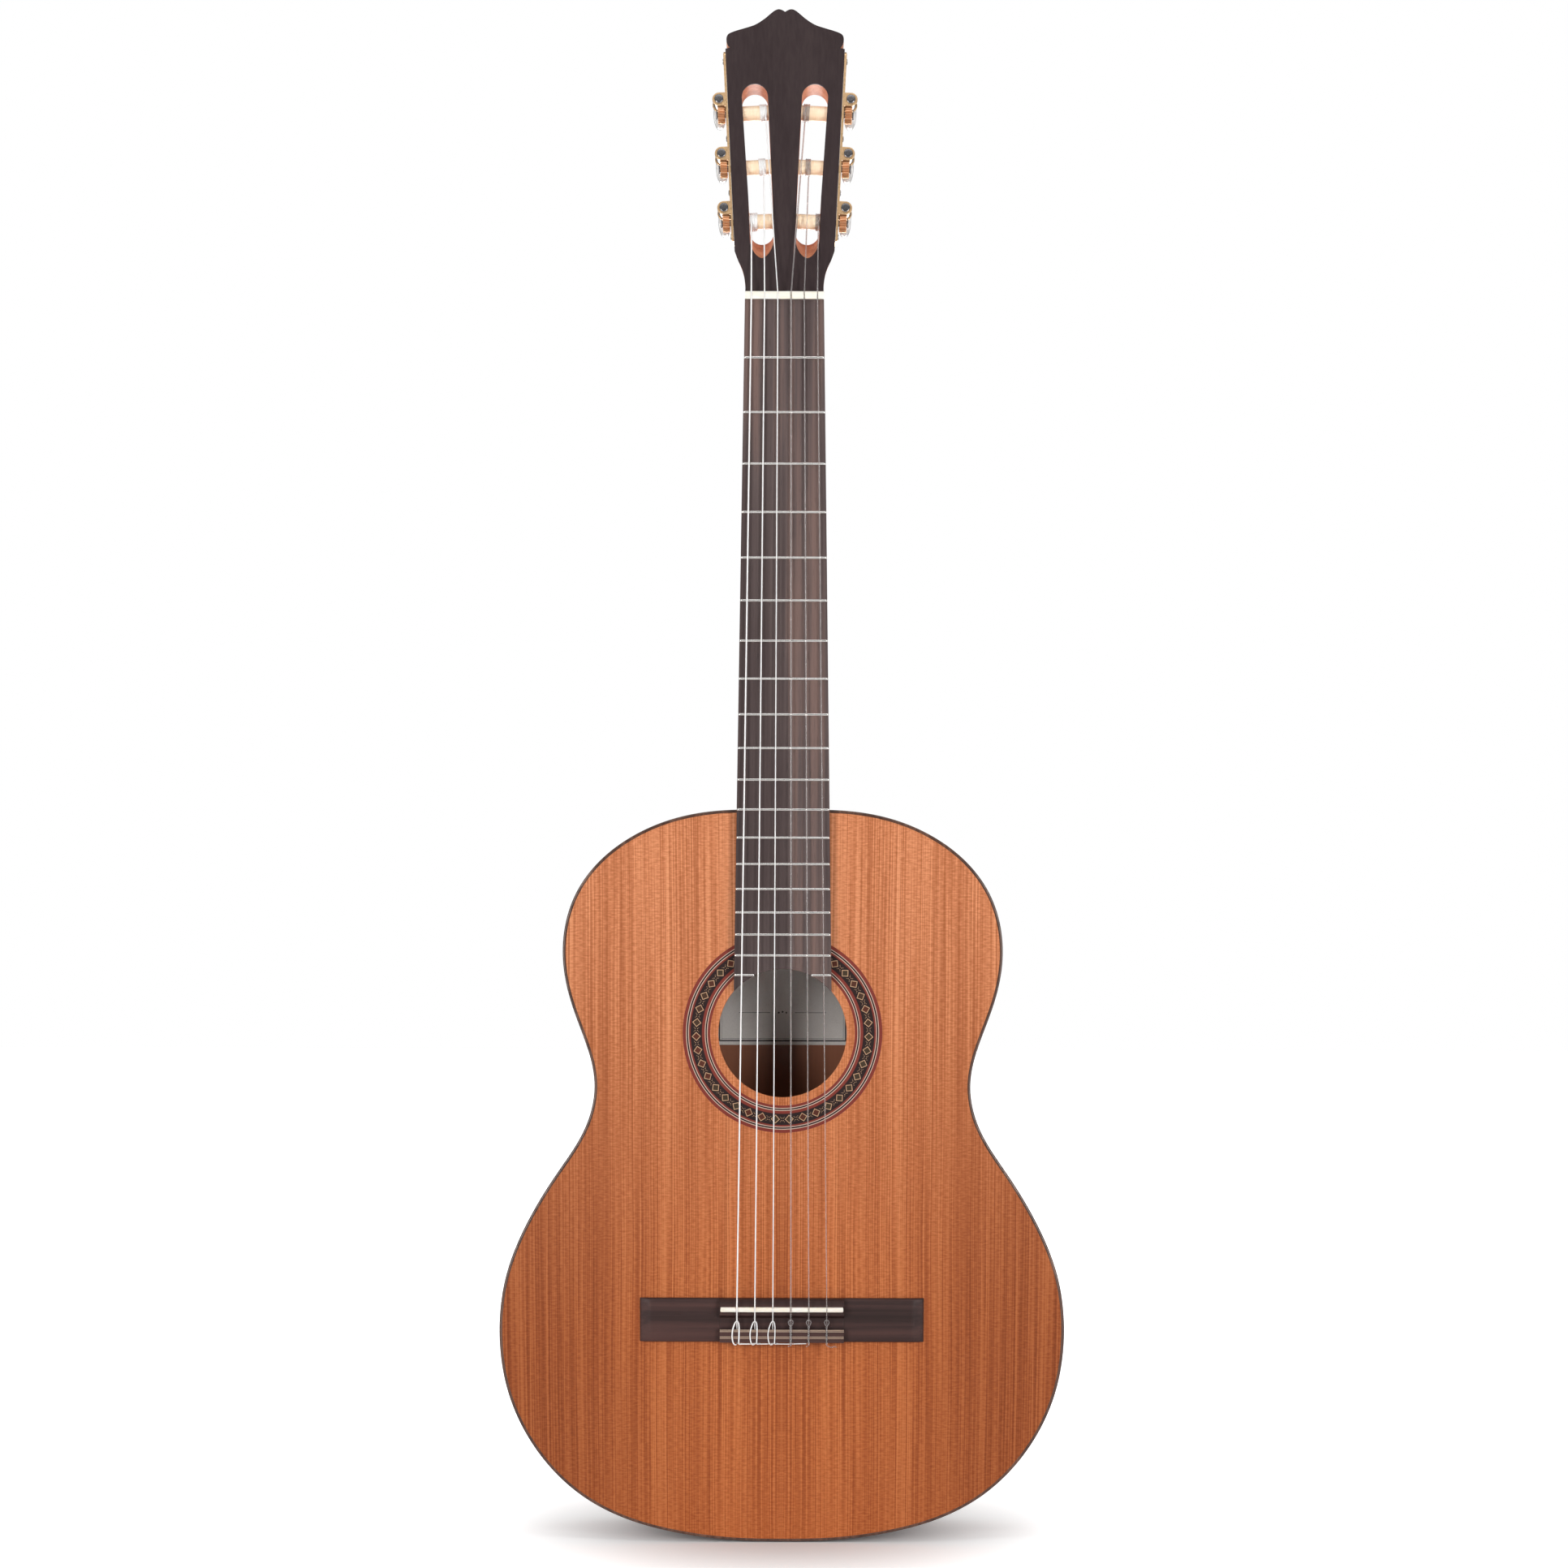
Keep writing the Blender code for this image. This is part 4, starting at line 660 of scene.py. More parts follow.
def bone_finish():
    m = Mat("polished_bone", 0.28)
    veins = m.noise(m.stretch(160, 900, 900), 1.0, 3.0, 0.55)
    cloud = m.noise(m.stretch(60, 120, 120), 1.0, 2.0)
    col = m.ramp(m.add(m.mul(veins, 0.4), m.mul(cloud, 0.6)), [(0.3, (0.93, 0.84, 0.68)), (0.5, (0.95, 0.91, 0.81)), (0.72, (0.97, 0.95, 0.89))])
    m.set("Base Color", col)
    m.set("Subsurface Weight", 0.12)
    m.set("Subsurface Radius", (0.002, 0.0014, 0.0009))
    m.set("Subsurface Scale", 1.0)
    m.set("Coat Weight", 0.3)
    m.bump(veins, 0.01, 0.4)
    return m.m


def metal_finish(name, base, dark, rough=0.25, brush="z", lines=3000.0, edge=None, metal=1.0):
    m = Mat(name, rough, metal)
    k = {"x": (0.02, 1, 1), "y": (1, 0.02, 1), "z": (1, 1, 0.02)}[brush]
    fine = m.noise(m.stretch(*(lines * q for q in k)), 1.0, 2.0)
    cloud = m.noise(m.stretch(120, 120, 120), 1.0, 3.0, 0.6)
    spots = m.step(m.noise(m.stretch(700, 700, 700), 1.0, 3.0, 0.7), 0.60, 0.72)
    col = m.mix(m.add(m.mul(cloud, 0.55), m.mul(spots, 0.35)), base, dark)
    if edge:
        col = m.mix(m.math("MULTIPLY", m.wear(0.25), 6.0, clamp=True), col, edge)
    m.set("Base Color", col)
    m.set("Roughness", m.add(rough - 0.08, m.add(m.mul(fine, 0.14), m.mul(spots, 0.10))))
    m.bump(fine, 0.006, 0.4)
    return m.m


def pearl_finish():
    """Marbled pearl celluloid."""
    m = Mat("pearl_celluloid", 0.16)
    v = m.stretch(70, 70, 70)
    swirl = m.noise(v, 1.0, 4.0, 0.6, 1.6)
    fold = m.noise(m.stretch(160, 160, 90, shift=(3, 1, 7)), 1.0, 3.0, 0.5, 2.2)
    col = m.ramp(m.add(m.mul(swirl, 0.6), m.mul(fold, 0.4)), [(0.32, srgb(214, 206, 200)), (0.5, srgb(238, 234, 230)), (0.66, srgb(252, 250, 248))])
    m.set("Base Color", col)
    m.set("Coat Weight", 0.8)
    m.set("Coat Roughness", 0.05)
    m.set("Subsurface Weight", 0.15)
    m.set("Subsurface Radius", (0.003, 0.003, 0.003))
    m.set("Subsurface Scale", 1.0)
    m.bump(swirl, 0.01, 0.2)
    return m.m


def roller_finish():
    m = Mat("roller_plastic", 0.38)
    turned = m.noise(m.stretch(2600, 120, 120), 1.0, 2.0)
    cloud = m.noise(m.stretch(200, 200, 200), 1.0, 3.0)
    col = m.ramp(m.add(m.mul(turned, 0.45), m.mul(cloud, 0.55)), [(0.3, srgb(240, 208, 170)), (0.5, srgb(252, 226, 194)), (0.7, srgb(255, 240, 214))])
    m.set("Base Color", col)
    m.set("Subsurface Weight", 0.1)
    m.set("Subsurface Radius", (0.002, 0.0015, 0.001))
    m.set("Subsurface Scale", 1.0)
    m.bump(turned, 0.012, 0.5)
    return m.m


def wound_string():
    """Silvered copper winding: a fine helix of wire round the core."""
    m = Mat("silver_winding", 0.42, 0.12)
    n = m.t.nodes.new("ShaderNodeTexWave")
    n.wave_type = "BANDS"
    n.bands_direction = "Z"
    n.wave_profile = "SIN"
    n.inputs["Scale"].default_value = 1.0
    n.inputs["Distortion"].default_value = 0.0
    m.t.links.new(m.stretch(300, 300, 900), n.inputs["Vector"])
    ridge = n.outputs["Fac"]
    tarnish = m.noise(m.stretch(300, 300, 30), 1.0, 3.0)
    col = m.mix(m.mul(tarnish, 0.3), (1.0, 1.0, 0.99), (0.9, 0.89, 0.88))
    m.set("Base Color", m.mix(m.mul(ridge, 0.12), col, (0.74, 0.73, 0.72)))
    m.bump(ridge, 0.05, 0.5)
    return m.m


def nylon_string():
    m = Mat("clear_nylon", 0.18)
    body = m.noise(m.stretch(900, 900, 60), 1.0, 2.0)
    m.set("Base Color", m.mix(m.mul(body, 0.5), (0.90, 0.86, 0.85), (0.78, 0.74, 0.73)))
    m.set("Transmission Weight", 0.85)
    m.set("IOR", 1.53)
    m.set("Roughness", m.add(0.14, m.mul(body, 0.12)))
    m.bump(body, 0.008, 0.4)
    return m.m


def label_paper():
    """Plain label: pale paper with ruled border lines and a small row of dots."""
    m = Mat("label_paper", 0.82)
    fibre = m.noise(m.stretch(1400, 1400, 900), 1.0, 4.0, 0.65)
    cloud = m.noise(m.stretch(50, 50, 50), 1.0, 2.0)
    col = m.ramp(m.add(m.mul(fibre, 0.5), m.mul(cloud, 0.5)), [(0.3, (0.80, 0.75, 0.70)), (0.5, (0.90, 0.85, 0.80)), (0.7, (0.96, 0.92, 0.88))])
    a, z = m.mul(m.math("ABSOLUTE", m.x), 1000.0), m.mul(m.z, 1000.0)
    ink = srgb(48, 44, 46)
    inside = m.mul(m.within(a, -1, 43.9, 0.05), m.within(z, 332.4, 403.6, 0.05))
    line = m.mul(m.within(a, -1, 43.9, 0.05), m.within(z, 332.4, 333.4, 0.08))
    line = m.math("MAXIMUM", line, m.mul(m.within(a, -1, 43.9, 0.05), m.within(z, 402.6, 403.6, 0.08)))
    line = m.math("MAXIMUM", line, m.mul(m.within(a, 42.9, 43.9, 0.08), inside))
    thin = m.mul(m.within(a, -1, 42.1, 0.05), m.within(z, 334.2, 334.5, 0.06))
    thin = m.math("MAXIMUM", thin, m.mul(m.within(a, 41.7, 42.0, 0.06), inside))
    rule = m.mul(m.within(a, 8.5, 30.0, 0.2), m.within(z, 352.0, 352.35, 0.06))
    dots = None
    for cx in (0.0, 2.6):
        e = m.add(m.math("ABSOLUTE", m.math("SUBTRACT", a, cx)), m.math("ABSOLUTE", m.math("SUBTRACT", z, 352.2 + (0.5 if cx == 0 else 0.0))))
        dd = m.within(e, -1, 0.75, 0.1)
        dots = dd if dots is None else m.math("MAXIMUM", dots, dd)
    mask = m.math("MAXIMUM", line, m.mul(thin, 0.7))
    mask = m.math("MAXIMUM", mask, m.math("MAXIMUM", m.mul(rule, 0.8), dots))
    m.set("Base Color", m.mix(m.mul(mask, 0.92), col, ink))
    m.bump(fibre, 0.02, 0.4)
    return m.m


CEDAR = cedar_top()
ROSETTE = rosette_rings()
RIB = back_wood("rib_mahogany", False)
BACK = back_wood("back_mahogany", True)
NECK = wood("neck_mahogany", srgb(208, 136, 100), srgb(182, 110, 76), srgb(224, 158, 120), "z", 620, 0.5, 0.52, 0.0, 0.35, 0.3, 0.5, 1.0, 0.15).m
HEAD_FACE = wood("head_rosewood", srgb(54, 42, 43), srgb(48, 36, 37), srgb(60, 48, 48), "z", 520, 0.5, 0.5, 0.0, 0.1, 0.3, 0.5, 1.0, 0.2).m
BOARD = wood("board_rosewood", srgb(88, 74, 72), srgb(66, 52, 51), srgb(116, 92, 85), "z", 300, 0.4, 0.5, 0.0, 0.35, 0.5, 0.9, 0.85, 0.3).m
BRIDGE_WOOD = wood("bridge_rosewood", srgb(60, 42, 40), srgb(43, 30, 28), srgb(82, 56, 52), "x", 320, 0.45, 0.5, 0.02, 0.3, 0.35, 0.7, 1.0, 0.2).m
BINDING = wood("binding_rosewood", srgb(86, 58, 46), srgb(58, 36, 28), srgb(120, 86, 70), "z", 420, 0.5, 0.28, 0.5, 0.1).m
SPRUCE = spruce_inside()
BONE = bone_finish()
NICKEL = metal_finish("fret_nickel", (0.93, 0.91, 0.88), (0.72, 0.70, 0.67), 0.24, "x")
GOLD = metal_finish("gold_plate", srgb(234, 196, 150), srgb(206, 160, 112), 0.3, "z", edge=srgb(246, 216, 168), metal=0.6)
COPPER = metal_finish("gear_bronze", srgb(226, 170, 126), srgb(180, 122, 84), 0.32, "y", edge=srgb(248, 208, 170), metal=0.7)
STEEL = metal_finish("dark_steel", srgb(150, 148, 150), srgb(86, 84, 88), 0.26, "y", edge=srgb(214, 212, 212))
PEARL = pearl_finish()
ROLLER = roller_finish()
WOUND = wound_string()
NYLON = nylon_string()
PAPER = label_paper()
TAN = wood("cap_line_wood", srgb(170, 146, 126), srgb(148, 122, 102), srgb(190, 168, 146), "x", 900, 0.5, 0.4, 0.2).m

# ------------------------------------------------------------------ body plan
HALF, FINE = clamped_spline(PLAN, PLAN_STEPS)
RIGHT = [(float(x), BODY_LENGTH - float(s)) for x, s in HALF]
RIGHT[0], RIGHT[-1] = (0.0, RIGHT[0][1]), (0.0, RIGHT[-1][1])
LOOP = RIGHT + [(-x, z) for x, z in RIGHT[-2:0:-1]]
LOOP_N = loop_normals(LOOP)


def inset(d):
    return [(p[0] - q[0] * d, p[1] - q[1] * d) for p, q in zip(LOOP, LOOP_N)]


def back_y(x, z):
    along = DEPTH_MAX - 6.5 * ((z - 120.0) / (BODY_LENGTH - 120.0)) ** 2
    return along - x * x / (2 * BACK_ARCH_R)


def circle(r, n=224):
    return [(r * math.cos(2 * math.pi * k / n), HOLE_Z + r * math.sin(2 * math.pi * k / n)) for k in range(n)]


def face_point(x, z, y):
    return W(x, y, z)


# soundboard: outer plate with the rosette's groove as a step, so the ring lies flush


def soundboard_mesh():
    """One closed plate: face, rosette groove, collar and a rounded soundhole edge."""
    verts, faces, rows = [], [], []

    def row(loop, y):
        ids = []
        for x, z in loop:
            ids.append(len(verts))
            verts.append(W(x, y, z))
        rows.append((ids, loop))
        return ids

    def wall(a, b):
        n = len(a)
        for k in range(n):
            faces.append((a[k], a[(k + 1) % n], b[(k + 1) % n], b[k]))

    def flat(outer, inner):
        (oi, ol), (ii, il) = outer, inner
        flatids = oi + ii
        for t in tessellate_polygon([[Vector((x, z, 0)) for x, z in ol], [Vector((x, z, 0)) for x, z in il]]):
            faces.append(tuple(flatids[i] for i in t))

    edge = inset(RIB_THICK + 0.02)
    o0 = row(edge, 0.0)
    g1 = row(circle(ROSETTE_R1 + 0.03), 0.0)
    flat((o0, edge), (g1, circle(ROSETTE_R1 + 0.03)))
    g1b = row(circle(ROSETTE_R1 + 0.03), 1.25)
    wall(g1, g1b)
    g0b = row(circle(ROSETTE_R0 - 0.03), 1.25)
    wall(g1b, g0b)
    g0 = row(circle(ROSETTE_R0 - 0.03), 0.0)
    wall(g0b, g0)
    last = g0
    for k in range(5):
        a = math.pi / 2 * k / 4
        nxt = row(circle(HOLE_R + 0.5 * (1 - math.sin(a))), 0.5 * (1 - math.cos(a)))
        wall(last, nxt)
        last = nxt
    for k in range(1, 4):
        a = math.pi / 2 * k / 3
        nxt = row(circle(HOLE_R + 0.4 * (1 - math.cos(a))), TOP_THICK - 0.4 * (1 - math.sin(a)))
        wall(last, nxt)
        last = nxt
    inner_loop = rows[-1][1]
    o1 = row(edge, TOP_THICK)
    flat((o1, edge), (last, inner_loop))
    wall(o0, o1)
    return verts, faces


make("soundboard_visual", soundboard_mesh(), CEDAR, slot="cedar", nodes=["soundboard"])
make("rosette_visual", slab([circle(ROSETTE_R1), circle(ROSETTE_R0)], face_point, -0.01, 1.2, 0.04, 0.0, 1), ROSETTE,
     slot="rosette", nodes=["rosette"])


def strip(points, outward, profile, closed=True, open_caps=True):
    rings = []
    for p, q in zip(points, outward):
        rings.append([W(p[0] - q[0] * d, y, p[1] - q[1] * d) for d, y in profile(p)])
    return loft(rings, closed_path=closed)


def corner(d0, y0, sd, sy, r, n=4):
    """Points of a rounded corner at (d0, y0); sd and sy point into the section."""
    return [(d0 + sd * r * (1 - math.cos(math.pi / 2 * k / n)), y0 + sy * r * (1 - math.sin(math.pi / 2 * k / n))) for k in range(n + 1)]


def top_binding_profile(p):
    return corner(0, 0, 1, 1, 1.1, 5) + [(RIB_THICK, 0), (RIB_THICK, BINDING_HIGH), (0.0, BINDING_HIGH)]


def back_binding_profile(p):
    yb = back_y(*p)
    return corner(0, yb, 1, -1, 1.1, 5) + [(RIB_THICK, yb), (RIB_THICK, yb - BINDING_HIGH), (0.0, yb - BINDING_HIGH)]


make("top_binding_visual", strip(LOOP, LOOP_N, top_binding_profile), BINDING, slot="binding", nodes=["top_binding"])
make("back_binding_visual", strip(LOOP, LOOP_N, back_binding_profile), BINDING, slot="binding", nodes=["back_binding"])


def rib_profile(p):
    y0, y1 = BINDING_HIGH + 0.02, back_y(*p) - BINDING_HIGH - 0.02
    ys = [y0 + (y1 - y0) * k / 6 for k in range(7)]
    return [(0.02, y) for y in ys] + [(RIB_THICK, y) for y in reversed(ys)]


RIGHT_N = LOOP_N[:len(RIGHT)]
for name, side in (("rib_treble", 1), ("rib_bass", -1)):
    pts = [(side * max(x, 0.02), z) for x, z in RIGHT]
    nrm = [(side * q[0], q[1]) for q in RIGHT_N]
    nrm[0], nrm[-1] = (0, nrm[0][1]), (0, nrm[-1][1])
    make(name + "_visual", strip(pts, nrm, rib_profile, closed=False), RIB, slot="mahogany", nodes=[name])


# end graft: a tapered inlay over the rib joint at the tail
def graft_mesh():
    rings = []
    n = 22
    for k in range(n + 1):
        y = BINDING_HIGH + 0.02 + (back_y(0, 0) - 2 * BINDING_HIGH - 0.04) * k / n
        w = 5.0 + 4.0 * k / n
        ring = []
        for q in range(9):
            x = w * (q - 4) / 4
            zt = BODY_LENGTH - float(np.interp(abs(x), FINE[-400:, 0][::-1], FINE[-400:, 1][::-1]))
            ring.append(W(x, y, zt - 0.06))
        ring += [W(p, y, 1.2) for p in (w, -w)]
        rings.append(ring)
    return loft(rings)


make("end_graft", graft_mesh(), BINDING, slot="binding")


def back_mesh():
    pts = inset(RIB_THICK + 0.02)[:len(RIGHT)]
    rows = [(x, z) for x, z in pts[1:-1]]
    cols = [math.sin(math.pi / 2 * k / 12) for k in range(-12, 13)]
    rings = []
    for half, z in rows:
        outer = [W(half * c, back_y(half * c, z), z) for c in cols]
        inner = [W(half * c, back_y(half * c, z) - BACK_THICK, z) for c in reversed(cols)]
        rings.append(outer + inner)
    return loft(rings)


make("back_visual", back_mesh(), BACK, slot="mahogany", nodes=["back_plate"])


# ------------------------------------------------------------------ neck and heel
def board_half(u):
    return (NUT_WIDTH + (BOARD_WIDTH_12 - NUT_WIDTH) * u / (SCALE_LENGTH / 2)) / 2


HEEL_CAP_Y = back_y(0, BODY_LENGTH) - 3.2
HEEL_PLAN = ((0, 13.5), (7, 12.8), (13, 10.8), (18, 7.6), (21, 4.6))


def shaft_depth(u):
    return 14.5 + 2.2 * u / 280.0


def neck_section(u, depth, cap, heel, tilt=0.0, power=0.83, count=24):
    w = board_half(u)
    half = []
    for k in range(count + 1):
        g = 6.0 * k / count
        th = math.pi / 2 * g / 6
        c, s = max(math.cos(th), 0.0), math.sin(th)
        xs, ys = (w * c ** power if k < count else 0.0), depth * s ** power
        q = float(np.interp(g, range(7), (0, 0.12, 0.35, 0.68, 1, 1, 1)))
        xh = cap + (w - cap) * (1 - q) ** 1.8 if g < 4 else cap * (1 - (g - 4) / 2)
        half.append((xs * (1 - heel) + xh * heel, ys * (1 - heel) + depth * q * heel))
    z = NUT_Z - u
    ring = [(x, y, z - y * math.tan(tilt)) for x, y in half]
    return ring + [(-x, y, zz) for x, y, zz in ring[-2::-1]]


NECK_U1 = SCALE_LENGTH / 2 - 0.05
rings = [neck_section(NECK_U1 - du, HEEL_CAP_Y + 0.25, cap, 1.0) for du, cap in HEEL_PLAN]
for deg in (6, 12, 18, 25, 32, 39, 46, 53, 60, 67, 74, 82, 90):
    ph = math.radians(deg)
    u = NECK_U1 - 23.0 - 62 * (1 - math.cos(ph))
    base = shaft_depth(u)
    h = 1 - (deg / 90.0) ** 2 * (3 - 2 * deg / 90.0)
    rings.append(neck_section(u, base + (HEEL_CAP_Y - 1 - base) * (1 - math.sin(ph)), 2.5 * h, h))
for u in (220, 200, 160, 120, 80, 50, 32):
    rings.append(neck_section(u, shaft_depth(u), 0, 0))
rings.append(neck_section(22, shaft_depth(22) + 0.1, 0, 0, math.radians(1.0), 0.74))
rings.append(neck_section(11, 15.6, 0, 0, math.radians(5), 0.5))
end = []
n0 = (0.0 - FACE_Y - 0.4 * math.sin(HEAD_ANGLE)) / math.cos(HEAD_ANGLE)
for k in range(25):
    th = math.pi / 2 * k / 24
    x = 25.3 * max(math.cos(th), 0) ** 0.22 if k < 24 else 0.0
    p = H(x, 0.6, n0 + (HEAD_THICK - n0) * math.sin(th) ** 0.22)
    end.append((p.x / MM, p.y / MM + Y_MID, p.z / MM))
rings.append(end + [(-x, y, z) for x, y, z in end[-2::-1]])
grid = np.array(rings)
fit = natural_fit(grid[4:], [k / 4 for k in range(4 * (len(rings) - 5) + 1)])
low = natural_fit(grid[:5], [k / 4 for k in range(17)])
allr = list(low[:-1]) + list(fit)
neck_rings = [[W(*p) for p in r] for r in allr]
make("neck_visual", loft(neck_rings), NECK, slot="neck_mahogany", nodes=["neck"], angle=40)

cap_pts = [Vector((c, NUT_Z - NECK_U1 + du, 0)) for du, c in HEEL_PLAN]
cap_curve = spline(cap_pts, 6) + [Vector((2.4, NUT_Z - NECK_U1 + 22.2, 0)), Vector((0.8, NUT_Z - NECK_U1 + 22.6, 0))]
cap_plan = [(p.x, p.y) for p in cap_curve]
make("heel_cap_visual", slab([cap_plan + [(-x, z) for x, z in cap_plan[::-1]]], face_point, HEEL_CAP_Y + 0.25, back_y(0, BODY_LENGTH) - 0.05, 0.0, 0.9, 4),
     BINDING, slot="rosewood", nodes=["heel_cap"])


# ------------------------------------------------------------------ head
def head_outline():
    side = [Vector((x, t, 0)) for x, t in HEAD_PLAN[:8]]
    curve = spline(side, 5)
    top = [Vector((x, t, 0)) for x, t in HEAD_PLAN[8:9]]
    ear = spline([Vector((x, t, 0)) for x, t in HEAD_PLAN[9:15]], 5)
    crown = spline([Vector((x, t, 0)) for x, t in HEAD_PLAN[14:]], 5)
    pts = curve + [Vector((38.65, 159.2, 0))] + top + ear + crown[1:]
    half = []
    for p in pts:
        if not half or (Vector((half[-1][0], half[-1][1], 0)) - p).length > 0.05:
            half.append((p.x, p.y))
    half[-1] = (0.0, half[-1][1])
    return half + [(-x, t) for x, t in half[-2::-1]]


def slot_outline(depth, side):
    k = depth / HEAD_THICK
    pts = []
    cx, r, ct = (SLOT_IN[1][0] + SLOT_OUT[1][0]) / 2, (SLOT_OUT[1][0] - SLOT_IN[1][0]) / 2, SLOT_OUT[1][1]
    for i in range(29):
        a = math.pi - math.pi * i / 28
        pts.append((cx + r * math.cos(a), ct + r * math.sin(a)))
    for q in (0.8, 0.6, 0.4, 0.2):
        pts.append((SLOT_OUT[1][0] * q + SLOT_OUT[0][0] * (1 - q), SLOT_OUT[1][1] * q + (SLOT_OUT[0][1] + 12) * (1 - q)))
    cx2, hw = (SLOT_IN[0][0] + SLOT_OUT[0][0]) / 2, (SLOT_OUT[0][0] - SLOT_IN[0][0]) / 2
    for i in range(37):
        a = math.pi * i / 36
        c, s = math.cos(a), math.sin(a)
        xf = cx2 + hw * math.copysign(abs(c) ** 1.18, c)
        tf = SLOT_OUT[0][1] - (SLOT_OUT[0][1] - SLOT_TIP[1]) * s ** 1.18
        xb, tb = cx2 + hw * c, 46.0 - 8.0 * s
        pts.append((xf * (1 - k) + xb * k, tf * (1 - k) + tb * k))
    for q in (0.2, 0.4, 0.6, 0.8):
        pts.append((SLOT_IN[1][0] * q + SLOT_IN[0][0] * (1 - q), SLOT_IN[1][1] * q + (SLOT_IN[0][1] + 12) * (1 - q)))
    return [(side * x, t) for x, t in pts]


HEAD_LOOP = head_outline()


SHOULDER = [(x, t) for x, t in HEAD_LOOP if x > 0 and t < 60]


def head_loops(depth):
    """The outline at a depth; the shoulders fall back as they go deeper."""
    ts, xs_ = [t for x, t in SHOULDER], [x for x, t in SHOULDER]
    loop = []
    for x, t in HEAD_LOOP:
        if t < 60:
            fade = min(1.0, max(0.0, (60 - t) / 25))
            x = math.copysign(float(np.interp(t - 0.3 * depth * fade, ts, xs_)), x)
        loop.append((x, t))
    return [loop, slot_outline(depth, -1), slot_outline(depth, 1)]


def head_point(x, t, n):
    return H(x, t, n)


head = make("headstock_visual", slab(head_loops, head_point, VENEER_THICK, HEAD_THICK, 0.0, 0.8, 4), NECK,
            slot="neck_mahogany", nodes=["headstock"])
make("head_veneer_visual", slab(head_loops, head_point, 0.0, VENEER_THICK, 0.25, 0.0, 3), HEAD_FACE, slot="veneer", nodes=["headstock_veneer"])


def roller_l(i):
    return (ROLLER_T[i] - SIDE_T0 - 18 * math.sin(SIDE_TILT)) / math.cos(SIDE_TILT)


def slot_inner(t):
    return SLOT_IN[0][0] + (SLOT_IN[1][0] - SLOT_IN[0][0]) * (t - SLOT_IN[0][1]) / (SLOT_IN[1][1] - SLOT_IN[0][1])


def roller_end(i):
    t = ROLLER_T[i]
    return SIDE_X0 + roller_l(i) * math.sin(SIDE_TILT) - slot_inner(t) + 4.0


def spun(side, l, n_, profile, count=40):
    rings = []
    for a, r in profile:
        if r == 0:
            rings.append([T(side, a, l, n_)])
        else:
            rings.append([T(side, a, l + r * math.cos(2 * math.pi * k / count), n_ + r * math.sin(2 * math.pi * k / count))
                          for k in range(count)])
    return loft(rings)


tools = []
for side in (-1, 1):
    for i in range(3):
        tools.append(make("bore", spun(side, roller_l(i), ROLLER_N, [(-roller_end(i) - 0.4, ROLLER_R + 0.25), (3, ROLLER_R + 0.25)], 40)))
cut(head, tools)

# ------------------------------------------------------------------ tuning machines
PLATE_L = (7.5, 131.5)
LUGS = ((1.0, 3.0), (11.4, 13.4))


def turned(point, profile, count):
    """A turned piece: point(s, c, q) gives the place of (station, cos part, sin part)."""
    rings = []
    for s, r in profile:
        if r == 0:
            rings.append([point(s, 0, 0)])
        else:
            rings.append([point(s, r * math.cos(2 * math.pi * k / count), r * math.sin(2 * math.pi * k / count)) for k in range(count)])
    return loft(rings)


